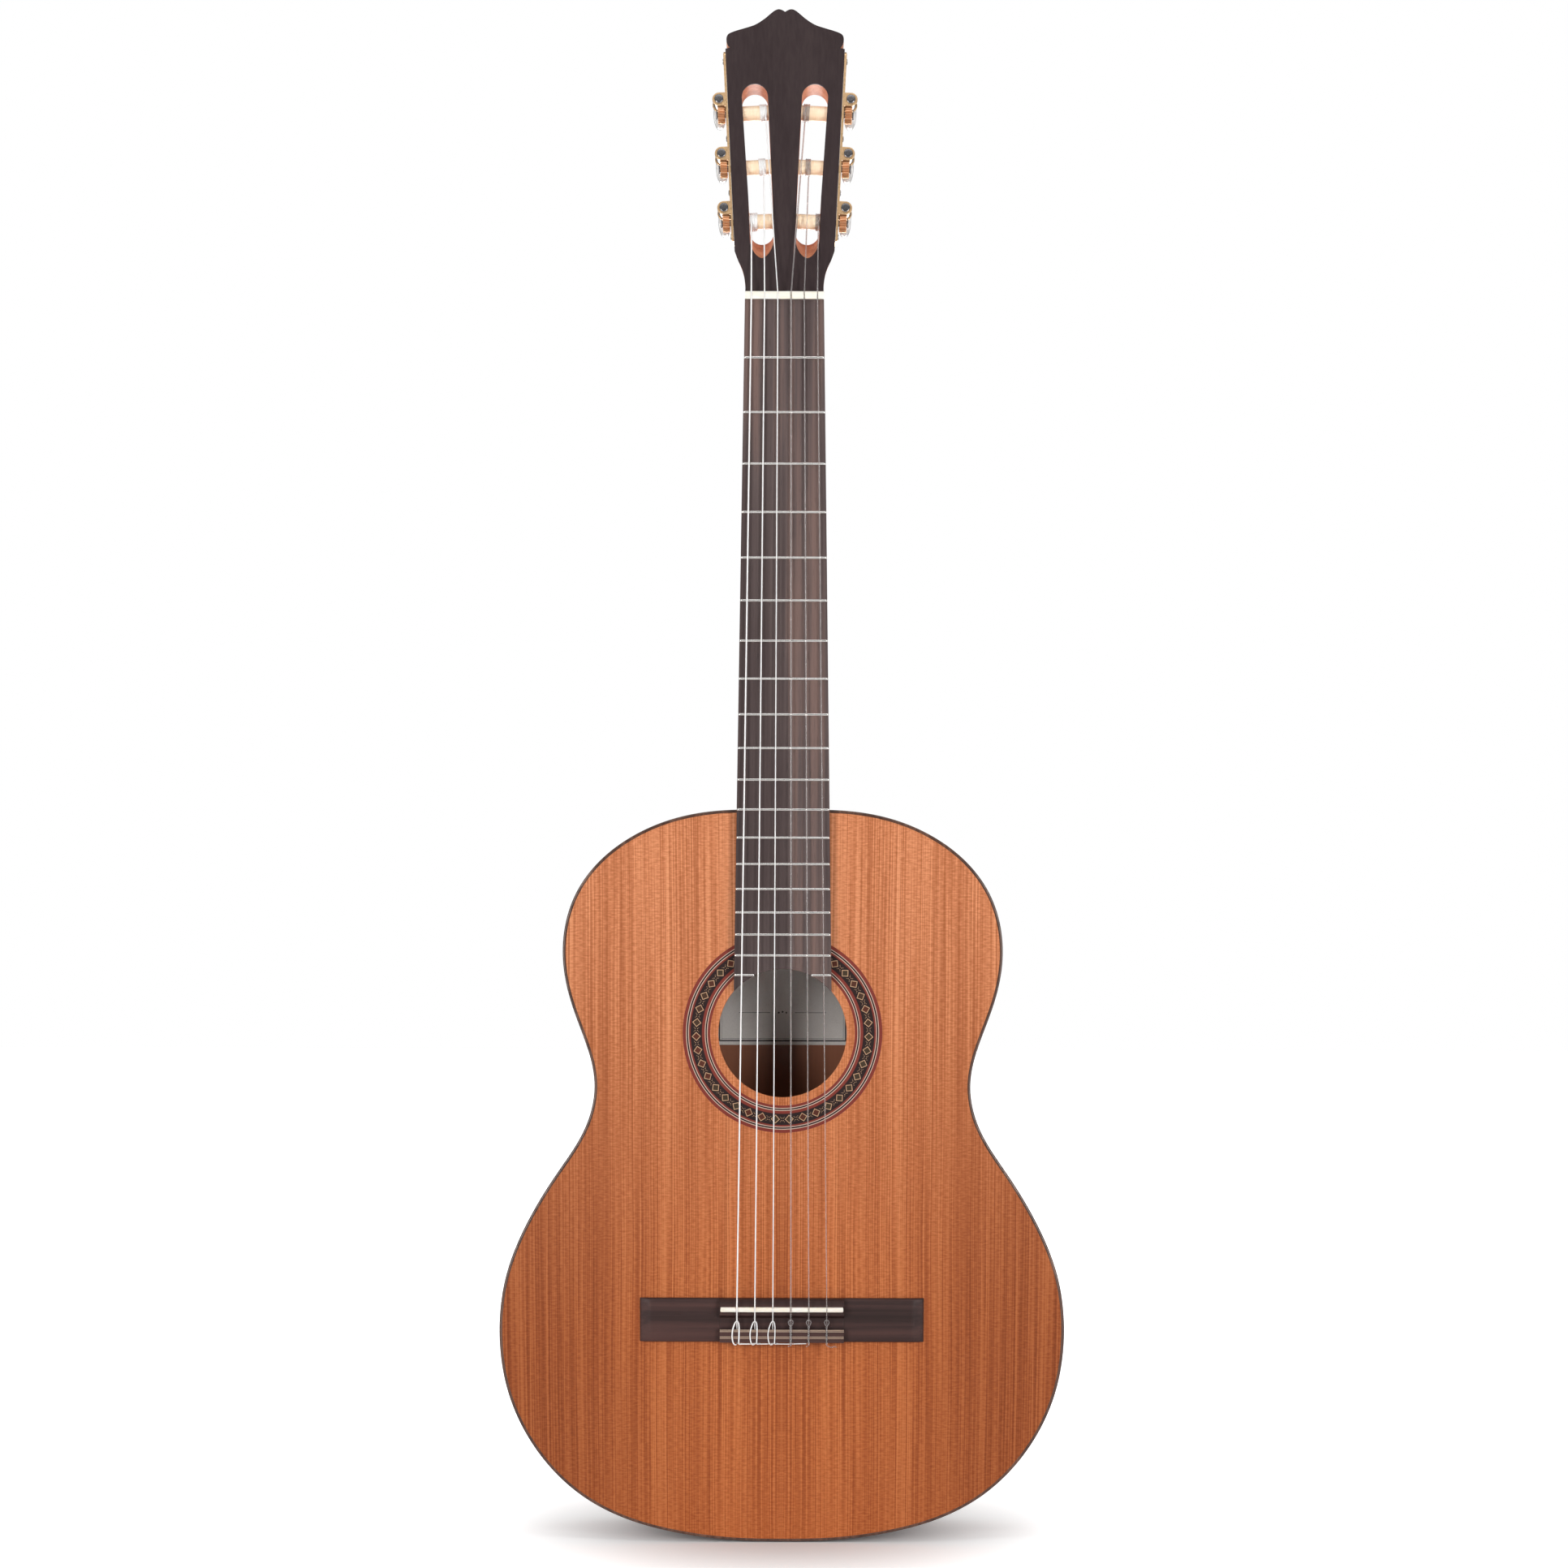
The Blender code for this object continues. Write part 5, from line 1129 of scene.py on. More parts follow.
def plate_mesh(side, name):
    c = 3.0
    l0, l1 = PLATE_L
    plan = []
    for (cx, cy, a0) in ((l0 + c, 0.8 + c, 180), (l1 - c, 0.8 + c, 270), (l1 - c, 15.8 - c, 0), (l0 + c, 15.8 - c, 90)):
        for k in range(7):
            a = math.radians(a0 + 15 * k)
            plan.append((cx + c * math.cos(a), cy + c * math.sin(a)))
    holes = []
    for i in range(3):
        holes.append([(roller_l(i) + 2.6 * math.cos(2 * math.pi * k / 28), ROLLER_N + 2.6 * math.sin(2 * math.pi * k / 28)) for k in range(28)])
    plate = make(name, slab([plan] + holes, lambda l, n, a: T(side, a, l, n), 0.05, 1.3, 0.0, 0.25, 3, 0.5), GOLD, slot="gold")
    lugs = []
    for i in range(3):
        l = roller_l(i) + CENTRE
        for na, nb in LUGS:
            pts = [(0.9, l - 4.3), (2.4, l - 4.3)] + [(WORM_A + 4.3 * math.sin(math.pi * k / 20), l - 4.3 * math.cos(math.pi * k / 20)) for k in range(21)] \
                + [(2.4, l + 4.3), (0.9, l + 4.3)]
            eye = [(WORM_A + 2.25 * math.cos(2 * math.pi * k / 28), l + 2.25 * math.sin(2 * math.pi * k / 28)) for k in range(28)]
            lugs.append(slab([pts, eye], lambda a, ll, n: T(side, a, ll, n), na, nb, 0.25, 0.25, 3, 0.6))
    screws, slots = [], []
    for l in (l0 + 4.5, (roller_l(0) + roller_l(1)) / 2 + 2.5, (roller_l(1) + roller_l(2)) / 2 + 2.5, l1 - 4.5):
        screws.append(spun(side, l, 8.3, [(0.8, 0), (0.8, 2.1), (1.45, 2.1), (1.85, 1.8), (2.1, 1.2), (2.2, 0.5), (2.2, 0)], 28))
        for w, h in ((1.7, 0.28), (0.28, 1.7)):
            ring = [(l - w, 8.3 - h), (l + w, 8.3 - h), (l + w, 8.3 + h), (l - w, 8.3 + h)]
            slots.append(loft([[T(side, a, ll, n) for ll, n in ring] for a in (1.75, 2.6)]))
    cut(plate, [make("lugs", merge(lugs))], "UNION")
    heads = make("screws_" + ("bass" if side < 0 else "treble"), merge(screws), STEEL, slot="dark_steel")
    cut(heads, [make("recess", merge(slots[0::2])), make("recess2", merge(slots[1::2]))])
    # raised bead round the plate's edge
    bead = []
    inner = []
    for (cx, cy, a0) in ((l0 + c, 0.8 + c, 180), (l1 - c, 0.8 + c, 270), (l1 - c, 15.8 - c, 0), (l0 + c, 15.8 - c, 90)):
        for k in range(7):
            a = math.radians(a0 + 15 * k)
            inner.append((cx + (c - 1.0) * math.cos(a), cy + (c - 1.0) * math.sin(a)))
    rr = 0.28
    for p, q in zip(inner, loop_normals(inner)):
        bead.append([T(side, 1.3 + rr * math.sin(2 * math.pi * k / 8), p[0] + q[0] * rr * math.cos(2 * math.pi * k / 8), p[1] + q[1] * rr * math.cos(2 * math.pi * k / 8))
                     for k in range(8)])
    make("plate_bead_" + ("bass" if side < 0 else "treble"), loft(bead, closed_path=True), GOLD, slot="gold")
    return plate


for side, node in ((-1, "tuner_plate_bass"), (1, "tuner_plate_treble")):
    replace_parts(plate_mesh(side, node + "_visual"), node)


def worm_mesh(side, i):
    """Worm shaft: domed front boss, thread, rear collar with a thumb ridge, stem."""
    l, columns = roller_l(i) + CENTRE, 32
    crest_r, root_r = WORM_PITCH_R + 0.5, WORM_PITCH_R - 0.7
    half_tip = (WORM_PITCH / 2 - BACKLASH) / 2 - 0.5 * math.tan(math.radians(20))
    half_root = (WORM_PITCH / 2 - BACKLASH) / 2 + 0.7 * math.tan(math.radians(20))
    turns = 3
    n_start = ROLLER_N - turns / 2 * WORM_PITCH

    def point(n, c, s):
        return T(side, WORM_A + c, l + s, n)

    def height(n, th):
        """Thread radius at depth n and angle th from the gear's direction."""
        w = ((n - n_start) / WORM_PITCH - th / (2 * math.pi))
        d = abs(w - round(w)) * WORM_PITCH
        r = float(np.interp(d, (0, half_tip, half_root, WORM_PITCH), (crest_r, crest_r, root_r, root_r)))
        fade = min(1.0, max(0.0, (n - 3.3) / 0.6)) * min(1.0, max(0.0, (11.1 - n) / 0.6))
        return 1.9 + (r - 1.9) * fade

    rings = [[point(-0.1, 0, 0)]]

    def ring(n, r):
        rings.append([point(n, r * math.cos(2 * math.pi * k / columns - math.pi / 2), r * math.sin(2 * math.pi * k / columns - math.pi / 2)) for k in range(columns)])

    for n, r in ((-0.1, 0.9), (-0.1, 2.3), (0.0, 2.65), (0.2, 2.85), (0.7, 2.9), (0.72, 1.9), (3.25, 1.9)):
        ring(n, r)
    steps = 84
    for q in range(steps + 1):
        n = 3.3 + (11.1 - 3.3) * q / steps
        pts = []
        for k in range(columns):
            th = 2 * math.pi * k / columns
            rr = height(n, th)
            pts.append(point(n, rr * math.cos(th - math.pi / 2), rr * math.sin(th - math.pi / 2)))
        rings.append(pts)
    for n, r in ((11.15, 1.9), (13.7, 1.9), (13.72, 3.1), (13.9, 3.35), (14.3, 3.4), (14.9, 3.15), (15.5, 3.2), (15.6, 3.0), (15.6, 1.9), (25.3, 1.9), (25.5, 1.7)):
        ring(n, r)
    rings.append([point(25.5, 0, 0)])
    return loft(rings)


def gear_mesh(side, i):
    """Worm wheel: round-flanked helical teeth, a raised hub and a centre bore."""
    l = roller_l(i)
    tip_r, root_r = GEAR_PITCH_R + 0.5, GEAR_PITCH_R - 0.65
    pitch_half = (WORM_PITCH / 2 - BACKLASH) / 2
    half_tip = (pitch_half - 0.5 * math.tan(math.radians(20))) / tip_r
    half_root = (pitch_half + 0.65 * math.tan(math.radians(20))) / root_r
    twist = WORM_PITCH / (2 * math.pi * WORM_PITCH_R) / GEAR_PITCH_R
    step = 2 * math.pi / GEAR_TEETH
    per = 12
    angs = []
    for k in range(GEAR_TEETH):
        for d, r in ((-half_root, root_r), (-(half_root * 0.6 + half_tip * 0.4), root_r + (tip_r - root_r) * 0.45), (-half_tip * 1.1, tip_r - 0.08), (-half_tip * 0.7, tip_r),
                     (0, tip_r), (half_tip * 0.7, tip_r), (half_tip * 1.1, tip_r - 0.08), (half_root * 0.6 + half_tip * 0.4, root_r + (tip_r - root_r) * 0.45), (half_root, root_r),
                     (step / 2 - 0.04, root_r - 0.08), (step / 2, root_r - 0.1), (step / 2 + 0.04, root_r - 0.08)):
            angs.append((k * step + d, r))
    count = len(angs)

    def ring(a, fr):
        pts = []
        for th, r in angs:
            rr = fr(r)
            pts.append(T(side, a, l + rr * math.cos(th + twist * (a - WORM_A)), ROLLER_N + rr * math.sin(th + twist * (a - WORM_A))))
        return pts

    rings = [ring(2.2, lambda r: 2.4), ring(2.2, lambda r: min(r, root_r - 0.4)), ring(2.2, lambda r: r - 0.2), ring(2.4, lambda r: r)]
    for a in (3.2, 4.0, 4.8, 5.6, 6.2, 6.6):
        rings.append(ring(a, lambda r: r))
    rings += [ring(6.8, lambda r: r - 0.2), ring(6.8, lambda r: 3.9), ring(6.45, lambda r: 3.7), ring(6.45, lambda r: 3.35), ring(6.75, lambda r: 3.15), ring(6.75, lambda r: 2.4)]
    return loft(rings, closed_path=True)


def roller_mesh(side, i):
    """String roller: a cream sleeve with a ringed flange at each end."""
    e = roller_end(i)
    prof = [(-e, 0), (-e, ROLLER_R - 0.3), (-e + 0.3, ROLLER_R), (-e + 5.2, ROLLER_R), (-e + 5.3, ROLLER_R - 0.22), (-e + 5.7, ROLLER_R - 0.22), (-e + 5.8, ROLLER_R),
            (-e + 9.0, ROLLER_R - 0.02), (-9.8, ROLLER_R - 0.02), (-9.2, ROLLER_R), (-9.1, ROLLER_R - 0.22), (-8.7, ROLLER_R - 0.22), (-8.6, ROLLER_R),
            (-0.4, ROLLER_R), (-0.1, ROLLER_R - 0.3), (-0.1, 0)]
    return spun(side, roller_l(i), ROLLER_N, prof, 48)


def post_mesh(side, i):
    """Roller's metal post through the plate, with the gear's screw and its slot."""
    return spun(side, roller_l(i), ROLLER_N, [(-0.3, 0), (-0.3, 2.25), (7.05, 2.25), (7.05, 3.2), (7.3, 3.3), (7.7, 3.1), (7.95, 2.4), (8.0, 1.4), (8.0, 0)], 32)


def button_mesh(side, i):
    """Pearl button: an oval paddle that swells from a short neck, with a blind socket."""
    l, cnt = roller_l(i) + CENTRE, 40
    st = [(20.0, 3.0, 3.0, 1.0), (20.3, 3.15, 3.15, 1.0), (20.8, 3.6, 3.4, 0.97), (22.6, 6.2, 3.65, 0.9), (25.5, 8.4, 3.9, 0.85),
          (29.5, 9.2, 4.0, 0.85), (33.5, 8.5, 3.8, 0.85), (36.2, 6.4, 3.2, 0.85), (37.5, 4.0, 2.3, 0.9), (38.0, 1.6, 1.0, 0.95)]
    rows = natural_fit([list(s) for s in st], [k / 4 for k in range(4 * (len(st) - 1) + 1)])
    rings = [[T(side, WORM_A, l, 25.7)], [T(side, WORM_A + 2.0 * math.cos(2 * math.pi * k / cnt), l + 2.0 * math.sin(2 * math.pi * k / cnt), 25.7) for k in range(cnt)],
             [T(side, WORM_A + 2.0 * math.cos(2 * math.pi * k / cnt), l + 2.0 * math.sin(2 * math.pi * k / cnt), 19.95) for k in range(cnt)]]
    for n, rl, ra, p in rows:
        ring = []
        for k in range(cnt):
            th = 2 * math.pi * k / cnt
            c, s = math.cos(th), math.sin(th)
            ring.append(T(side, WORM_A + ra * math.copysign(abs(c) ** p, c), l + rl * math.copysign(abs(s) ** p, s), n))
        rings.append(ring)
    rings.append([T(side, WORM_A, l, 38.05)])
    return loft(rings)


def driver_slot(side, i, mesh_ob):
    l = roller_l(i)
    ring = [(l - 2.9, ROLLER_N - 0.32), (l + 2.9, ROLLER_N - 0.32), (l + 2.9, ROLLER_N + 0.32), (l - 2.9, ROLLER_N + 0.32)]
    cut(mesh_ob, [make("slot_tool", loft([[T(side, a, ll, n) for ll, n in ring] for a in (7.45, 8.6)]))])


for s in range(6, 0, -1):
    side, i, _ = STRING_ROLLER[s]
    make("tuner_button_visual_%d" % s, button_mesh(side, i), PEARL, "key_%d" % s, "pearl", ["tuner_button_%d" % s], 50)
    make("worm_visual_%d" % s, worm_mesh(side, i), STEEL, "key_%d" % s, "dark_steel", ["worm_shaft_%d" % s])
    make("gear_visual_%d" % s, gear_mesh(side, i), COPPER, "roller_%d" % s, "gold", ["worm_gear_%d" % s])
    make("roller_visual_%d" % s, roller_mesh(side, i), ROLLER, "roller_%d" % s, "roller_plastic", ["string_roller_%d" % s])
    driver_slot(side, i, make("roller_post_%d" % s, post_mesh(side, i), STEEL, "roller_%d" % s, "dark_steel"))

# ------------------------------------------------------------------ fingerboard, frets, nut
arc = []
u_end = 471.6 - math.sqrt(HOLE_R ** 2 - board_half(444) ** 2)
a1 = math.asin(board_half(u_end) / HOLE_R)
for k in range(49):
    a = a1 - 2 * a1 * k / 48
    arc.append((HOLE_R * math.sin(a), HOLE_Z + HOLE_R * math.cos(a)))
board_plan = [(-NUT_WIDTH / 2, NUT_Z), (NUT_WIDTH / 2, NUT_Z)]
for k in range(1, 12):
    u = u_end * k / 12
    board_plan.append((board_half(u), NUT_Z - u))
board_plan += arc
for k in range(11, 0, -1):
    u = u_end * k / 12
    board_plan.append((-board_half(u), NUT_Z - u))
make("fingerboard_visual", slab([board_plan], face_point, BOARD_TOP, 0.02, 0.35, 0.0, 3), BOARD, slot="rosewood", nodes=["fingerboard"])


def fret_u(n):
    return SCALE_LENGTH * (1 - 2 ** (-n / 12))


def fret_mesh(x0, x1, u):
    """Crowned wire: a half-round bead on a flat base, its ends filed to a slope and rounded."""
    z, y = NUT_Z - u, BOARD_TOP - 0.02
    sec = [(0.88 * math.cos(math.pi * k / 12), -1.0 * math.sin(math.pi * k / 12) ** 0.8) for k in range(13)]
    sec += [(-0.25, 0.0), (-0.25, 1.8), (0.25, 1.8), (0.25, 0.0)]
    rings = []
    for x, k in ((x0, 0.05), (x0 + 0.1, 0.45), (x0 + 0.3, 0.75), (x0 + 0.7, 0.95), (x0 + 1.1, 1.0), (x1 - 1.1, 1.0), (x1 - 0.7, 0.95), (x1 - 0.3, 0.75), (x1 - 0.1, 0.45), (x1, 0.05)):
        rings.append([W(x, y + (yy * k if yy < 0 else yy), z + dz * (0.75 + 0.25 * k)) for dz, yy in sec])
    return loft(rings)


for n in range(1, FRET_COUNT + 1):
    u = fret_u(n)
    w = board_half(u) - 0.05
    if n == FRET_COUNT:
        gap = math.sqrt(HOLE_R ** 2 - (471.6 - u) ** 2) + 0.5
        vf = merge([fret_mesh(gap, w, u), fret_mesh(-w, -gap, u)])
    else:
        vf = fret_mesh(-w, w, u)
    make("fret_%02d" % n, vf, NICKEL, slot="fret_nickel", nodes=["frets"] if n == 1 else ())


def string_x(s, spread):
    return (3.5 - s) / 5.0 * spread


NUT_STRING_Y = BOARD_TOP - 1.3


def extrude_x(section, x0, x1, r=0.5, seg=4, shrink_to=None):
    """A section in (y, z) run along x, its ends rounded in towards the section's middle."""
    cy = sum(p[0] for p in section) / len(section)
    cz = sum(p[1] for p in section) / len(section)
    hy = max(abs(p[0] - cy) for p in section)
    hz = max(abs(p[1] - cz) for p in section)
    rings = []
    st = []
    for k in range(seg + 1):
        a = math.pi / 2 * k / seg
        st.append((x0 + r * (1 - math.sin(a)), r * (1 - math.cos(a))))
    st = st[::-1]
    st += [(x0 + x1 - x, d) for x, d in st[::-1]]
    for x, d in st:
        ky, kz = (hy - d) / hy, (hz - d) / hz
        rings.append([W(x, cy + (y - cy) * ky, cz + (z - cz) * kz) for y, z in section])
    return loft(rings)


def rounded(section, r, n=4):
    """Rounds the corners of a closed polygon; r is one radius or one per corner."""
    out = []
    m = len(section)
    for i in range(m):
        rr = r[i] if isinstance(r, (list, tuple)) else r
        p = Vector(section[i])
        a = (Vector(section[i - 1]) - p)
        b = (Vector(section[(i + 1) % m]) - p)
        if rr <= 0:
            out.append(tuple(p))
            continue
        la, lb = a.length, b.length
        a.normalize(); b.normalize()
        ang = a.angle(b)
        t = min(rr / math.tan(ang / 2), la * 0.48, lb * 0.48)
        pa, pb = p + a * t, p + b * t
        for k in range(n + 1):
            q = k / n
            out.append(tuple(pa * (1 - q) ** 2 + p * 2 * q * (1 - q) + pb * q * q))
    return out


nut_sec = rounded([(-0.02, NUT_Z), (-9.4, NUT_Z), (-8.9, NUT_Z + 3.4), (-8.0, NUT_Z + NUT_THICK), (-0.02, NUT_Z + NUT_THICK)], [0, 0.5, 1.2, 0.7, 0])
nut = make("nut_visual", extrude_x(nut_sec, -NUT_WIDTH / 2, NUT_WIDTH / 2, 0.5), BONE, slot="bone", nodes=["nut"])
tools = []
for s in range(1, 7):
    x, r = string_x(s, NUT_SPREAD), STRING_R[s] + 0.06
    rings = []
    for z, drop in ((NUT_Z - 1, -0.12), (NUT_Z + 1.2, 0.0), (NUT_Z + 3.0, 0.28), (NUT_Z + 7, 1.1)):
        cy = NUT_STRING_Y - STRING_R[s] + drop
        rings.append([W(x + r * math.cos(math.pi * k / 10), cy + r * math.sin(math.pi * k / 10), z) for k in range(11)] + [W(x - r * 1.15, -12, z), W(x + r * 1.15, -12, z)])
    tools.append(make("groove", loft(rings)))
cut(nut, tools)

# ------------------------------------------------------------------ bridge
zt, zb = U(BRIDGE_U0), U(BRIDGE_U1)


def wing_section(h, pinch=0.0):
    """Half-domed cross-section of a bridge wing."""
    pts = [(-0.0, zt)]
    w = (zt - zb) / 2
    zc = (zt + zb) / 2
    for k in range(25):
        a = math.pi * k / 24
        c, s = math.cos(a), math.sin(a)
        y = -h * min(1.0, s ** 0.22) if 0 < k < 24 else -h * 0.0
        pts.append((y, zc + w * math.copysign(abs(c) ** 0.72, c)))
    pts.append((-0.0, zb))
    return pts


rings = []
for x, h in ((-95.0, 0.9), (-94.7, 1.45), (-94.0, 1.85), (-92, 2.55), (-90, 3.25), (-88.8, 3.7), (-87.6, 3.92), (-86, 4.0), (-60, 4.05), (-30, 4.05), (30, 4.05), (60, 4.05),
             (86, 4.0), (87.6, 3.92), (88.8, 3.7), (90, 3.25), (92, 2.55), (94.0, 1.85), (94.7, 1.45), (95.0, 0.9)):
    rings.append([W(x, y, z) for y, z in wing_section(h)[1:-1]] )
bridge = make("bridge_visual", loft(rings), BRIDGE_WOOD, slot="rosewood", nodes=["bridge"], angle=40)
mid_sec = rounded([(-0.01, U(648.5)), (-6.4, U(648.5)), (-8.4, U(650.4)), (-8.4, U(659.5)), (-4.6, U(661.4)), (-4.6, U(TIE_BLOCK_U0)),
                   (-7.5, U(TIE_BLOCK_U0)), (-7.5, U(677.8)), (-0.01, U(677.8))], [0, 1.4, 0.8, 0.6, 1.0, 0.3, 0, 0, 0], 5)
rings = []
for x, k in ((-41.5, 0.96), (-41.2, 0.985), (-40.8, 1.0), (40.8, 1.0), (41.2, 0.985), (41.5, 0.96)):
    rings.append([W(x, y * k, z) for y, z in mid_sec])
cut(bridge, [make("mid", loft(rings))], "UNION", 40)


def extrude_box(x0, x1, y0, y1, z0, z1):
    return loft([[W(x, y, z) for x, y in ((x0, y0), (x1, y0), (x1, y1), (x0, y1))] for z in (z0, z1)])


hs = SADDLE_THICK / 2
cut(bridge, [make("slot", extrude_box(-41.05, 41.05, -20, -4.6, U(SADDLE_U) - hs - 0.06, U(SADDLE_U) + hs + 0.06))])
ties = []
for s in range(1, 7):
    x = string_x(s, SADDLE_SPREAD)
    rings = []
    for u in (661.0, 690.0):
        rings.append([W(x + 0.95 * math.cos(2 * math.pi * k / 20), TIE_HOLE_Y + 0.95 * math.sin(2 * math.pi * k / 20), U(u)) for k in range(20)])
    ties.append(make("tie", loft(rings)))
cut(bridge, ties, angle=40)

saddle_sec = rounded([(-4.7, U(SADDLE_U) + hs), (SADDLE_TOP + 0.35, U(SADDLE_U) + hs), (SADDLE_TOP, U(SADDLE_U) - 0.1), (SADDLE_TOP + 0.35, U(SADDLE_U) - hs), (-4.7, U(SADDLE_U) - hs)],
                     [0, 0.8, 0.8, 0.8, 0], 5)
make("saddle_visual", extrude_x(saddle_sec, -41.0, 41.0, 0.6), BONE, slot="bone", nodes=["saddle"])

cap_sec = rounded([(-7.5, U(TIE_BLOCK_U0)), (-8.45, U(TIE_BLOCK_U0)), (-8.45, U(677.8)), (-7.5, U(677.8))], [0, 0.35, 0.35, 0], 4)
make("tie_cap_visual", extrude_x(cap_sec, -BRIDGE_MID_HALF, BRIDGE_MID_HALF, 0.15, 2), BRIDGE_WOOD, slot="rosewood", nodes=["tie_block_cap"])
for k, (ua, ub) in enumerate(((669.0, 669.55), (670.0, 670.55), (673.5, 674.05), (674.5, 675.05))):
    sec = [(-8.3, U(ua)), (-8.5, U(ua)), (-8.5, U(ub)), (-8.3, U(ub))]
    make("tie_cap_line_%d" % (k + 1), loft([[W(x, y, z) for y, z in rounded(sec, [0, 0.04, 0.04, 0], 2)] for x in (-BRIDGE_MID_HALF + 0.02, BRIDGE_MID_HALF - 0.02)]), TAN, slot="bone")

# ------------------------------------------------------------------ strings
COIL_OUT = 4.8


def head_coil(s):
    """String wound on its roller: turns beside the tangent point, riding on the roller."""
    side, i, x_end = STRING_ROLLER[s]
    r = STRING_R[s]
    big = COIL_OUT + r + 0.02
    l = roller_l(i)
    a_end = roller_a(s)
    turns_out, turns_in = {6: (2.2, 3.6), 5: (1.2, 3.6), 4: (1.2, 4.2), 3: (1.6, 2.2), 2: (1.2, 2.4), 1: (1.4, 2.2)}[s]
    path = []
    steps = 30
    pitch = 2 * r * 1.06
    total = turns_out + turns_in
    for q in range(int(total * steps) + 1):
        ph = -turns_out * 2 * math.pi + q / steps * 2 * math.pi
        a = a_end + WIND[s] * ph / (2 * math.pi) * pitch
        ang = -math.pi / 2 + ph
        path.append(T(side, a, l + big * math.cos(ang + 0.0) * 1.0, ROLLER_N + big * math.sin(ang)))
    return tube(path, r, 10)


WIND = {6: -1, 5: 1, 4: 1, 3: 1, 2: -1, 1: -1}


def roller_a(s):
    """Where along its roller (a, out of the head's side) the string arrives."""
    side, i, x_end = STRING_ROLLER[s]
    return (x_end - SIDE_X0 - roller_l(i) * math.sin(SIDE_TILT)) / math.cos(SIDE_TILT)


for s in range(6, 0, -1):
    r = STRING_R[s]
    side, i, x_end = STRING_ROLLER[s]
    mat, slot_name = (WOUND, "wound_string") if s > 3 else (NYLON, "nylon")
    xs, xn = string_x(s, SADDLE_SPREAD), string_x(s, NUT_SPREAD)
    y_s, y_n = SADDLE_TOP - r, NUT_STRING_Y - r
    start = W(xs, TIE_HOLE_Y, U(676.5))
    hole = W(xs, TIE_HOLE_Y - 0.1, U(669.2))
    over = [W(xs, y_s + 0.45, U(SADDLE_U + 1.5)), W(xs, y_s + 0.04, U(SADDLE_U + 0.5)), W(xs, y_s + 0.0, U(SADDLE_U - 0.5)), W(xs, y_s + 0.1, U(SADDLE_U - 1.6))]
    over[3] = over[2] + (W(xn, y_n, NUT_Z) - over[2]) * (1.1 / 655.0)
    nut_pts = [W(xn, y_n - 0.0, NUT_Z + 0.2), W(xn, y_n + 0.06, NUT_Z + 1.6), W(xn, y_n + 0.42, NUT_Z + 3.4)]
    tail = T(side, roller_a(s), roller_l(i), ROLLER_N - COIL_OUT - r - 0.02)
    leave = W(xn, y_n + 0.42, NUT_Z + 3.4)
    fwd = (tail - leave)
    path = [start, hole] + [hole + (over[0] - hole) * q for q in (0.3, 0.6)] + over
    a, b = over[-1], nut_pts[0]
    path += [a + (b - a) * (k / 24) for k in range(1, 24)]
    path += nut_pts + [leave + fwd * (k / 8) for k in range(1, 8)] + [tail, tail + fwd.normalized() * 0.5 * MM + (T(side, roller_a(s), roller_l(i) + 0.5, ROLLER_N - COIL_OUT - r) - T(side, roller_a(s), roller_l(i), ROLLER_N - COIL_OUT - r))]
    make("string_visual_%d" % s, tube(path, r, 14), mat, slot=slot_name, nodes=["string_%d" % s], angle=60)
    make("string_coil_%d" % s, head_coil(s), mat, "roller_%d" % s, slot_name, angle=60)

# bass ties: a flat oval round the string in front of the tie block, tucked at the rear edge
for s in (6, 5, 4):
    r, xs = STRING_R[s], string_x(s, SADDLE_SPREAD)
    y0 = -8.5 - r
    pts = [(0.0, -5.7, 677.0), (-0.1, -5.75, 678.6), (-0.9, -6.9, 679.3), (-1.9, y0 + 0.5, 678.7), (-2.7, y0, 677.0), (-3.15, y0, 674.0), (-3.1, y0, 671.0), (-2.6, y0, 668.2),
           (-1.7, y0 + 0.1, 665.4), (-0.9, y0 - 0.5, 663.8), (0.0, -8.95 - 2 * r - 0.35, 663.1), (0.9, y0 - 0.4, 663.9), (1.35, y0 + 0.1, 666.0), (1.45, y0, 669.2), (1.4, y0, 673.0),
           (1.25, y0, 676.6), (1.2, y0 + 0.4, 678.2), (1.5, y0 + 1.3, 678.75), (2.6, y0 + 1.7, 678.7)]
    run = {6: 12.6, 5: 12.4, 4: 19.6}[s]
    for k in range(1, 6):
        pts.append((2.6 + run * k / 5, y0 + 1.7 + (0.25 if s == 4 else 0.6) * k / 5, 678.6 + 0.12 * math.sin(k)))
    curve = spline([W(xs + x, y, U(u)) for x, y, u in pts], 7)
    make("string_tie_%d" % s, tube(curve, r * 0.98, 12), WOUND, slot="wound_string", angle=60)

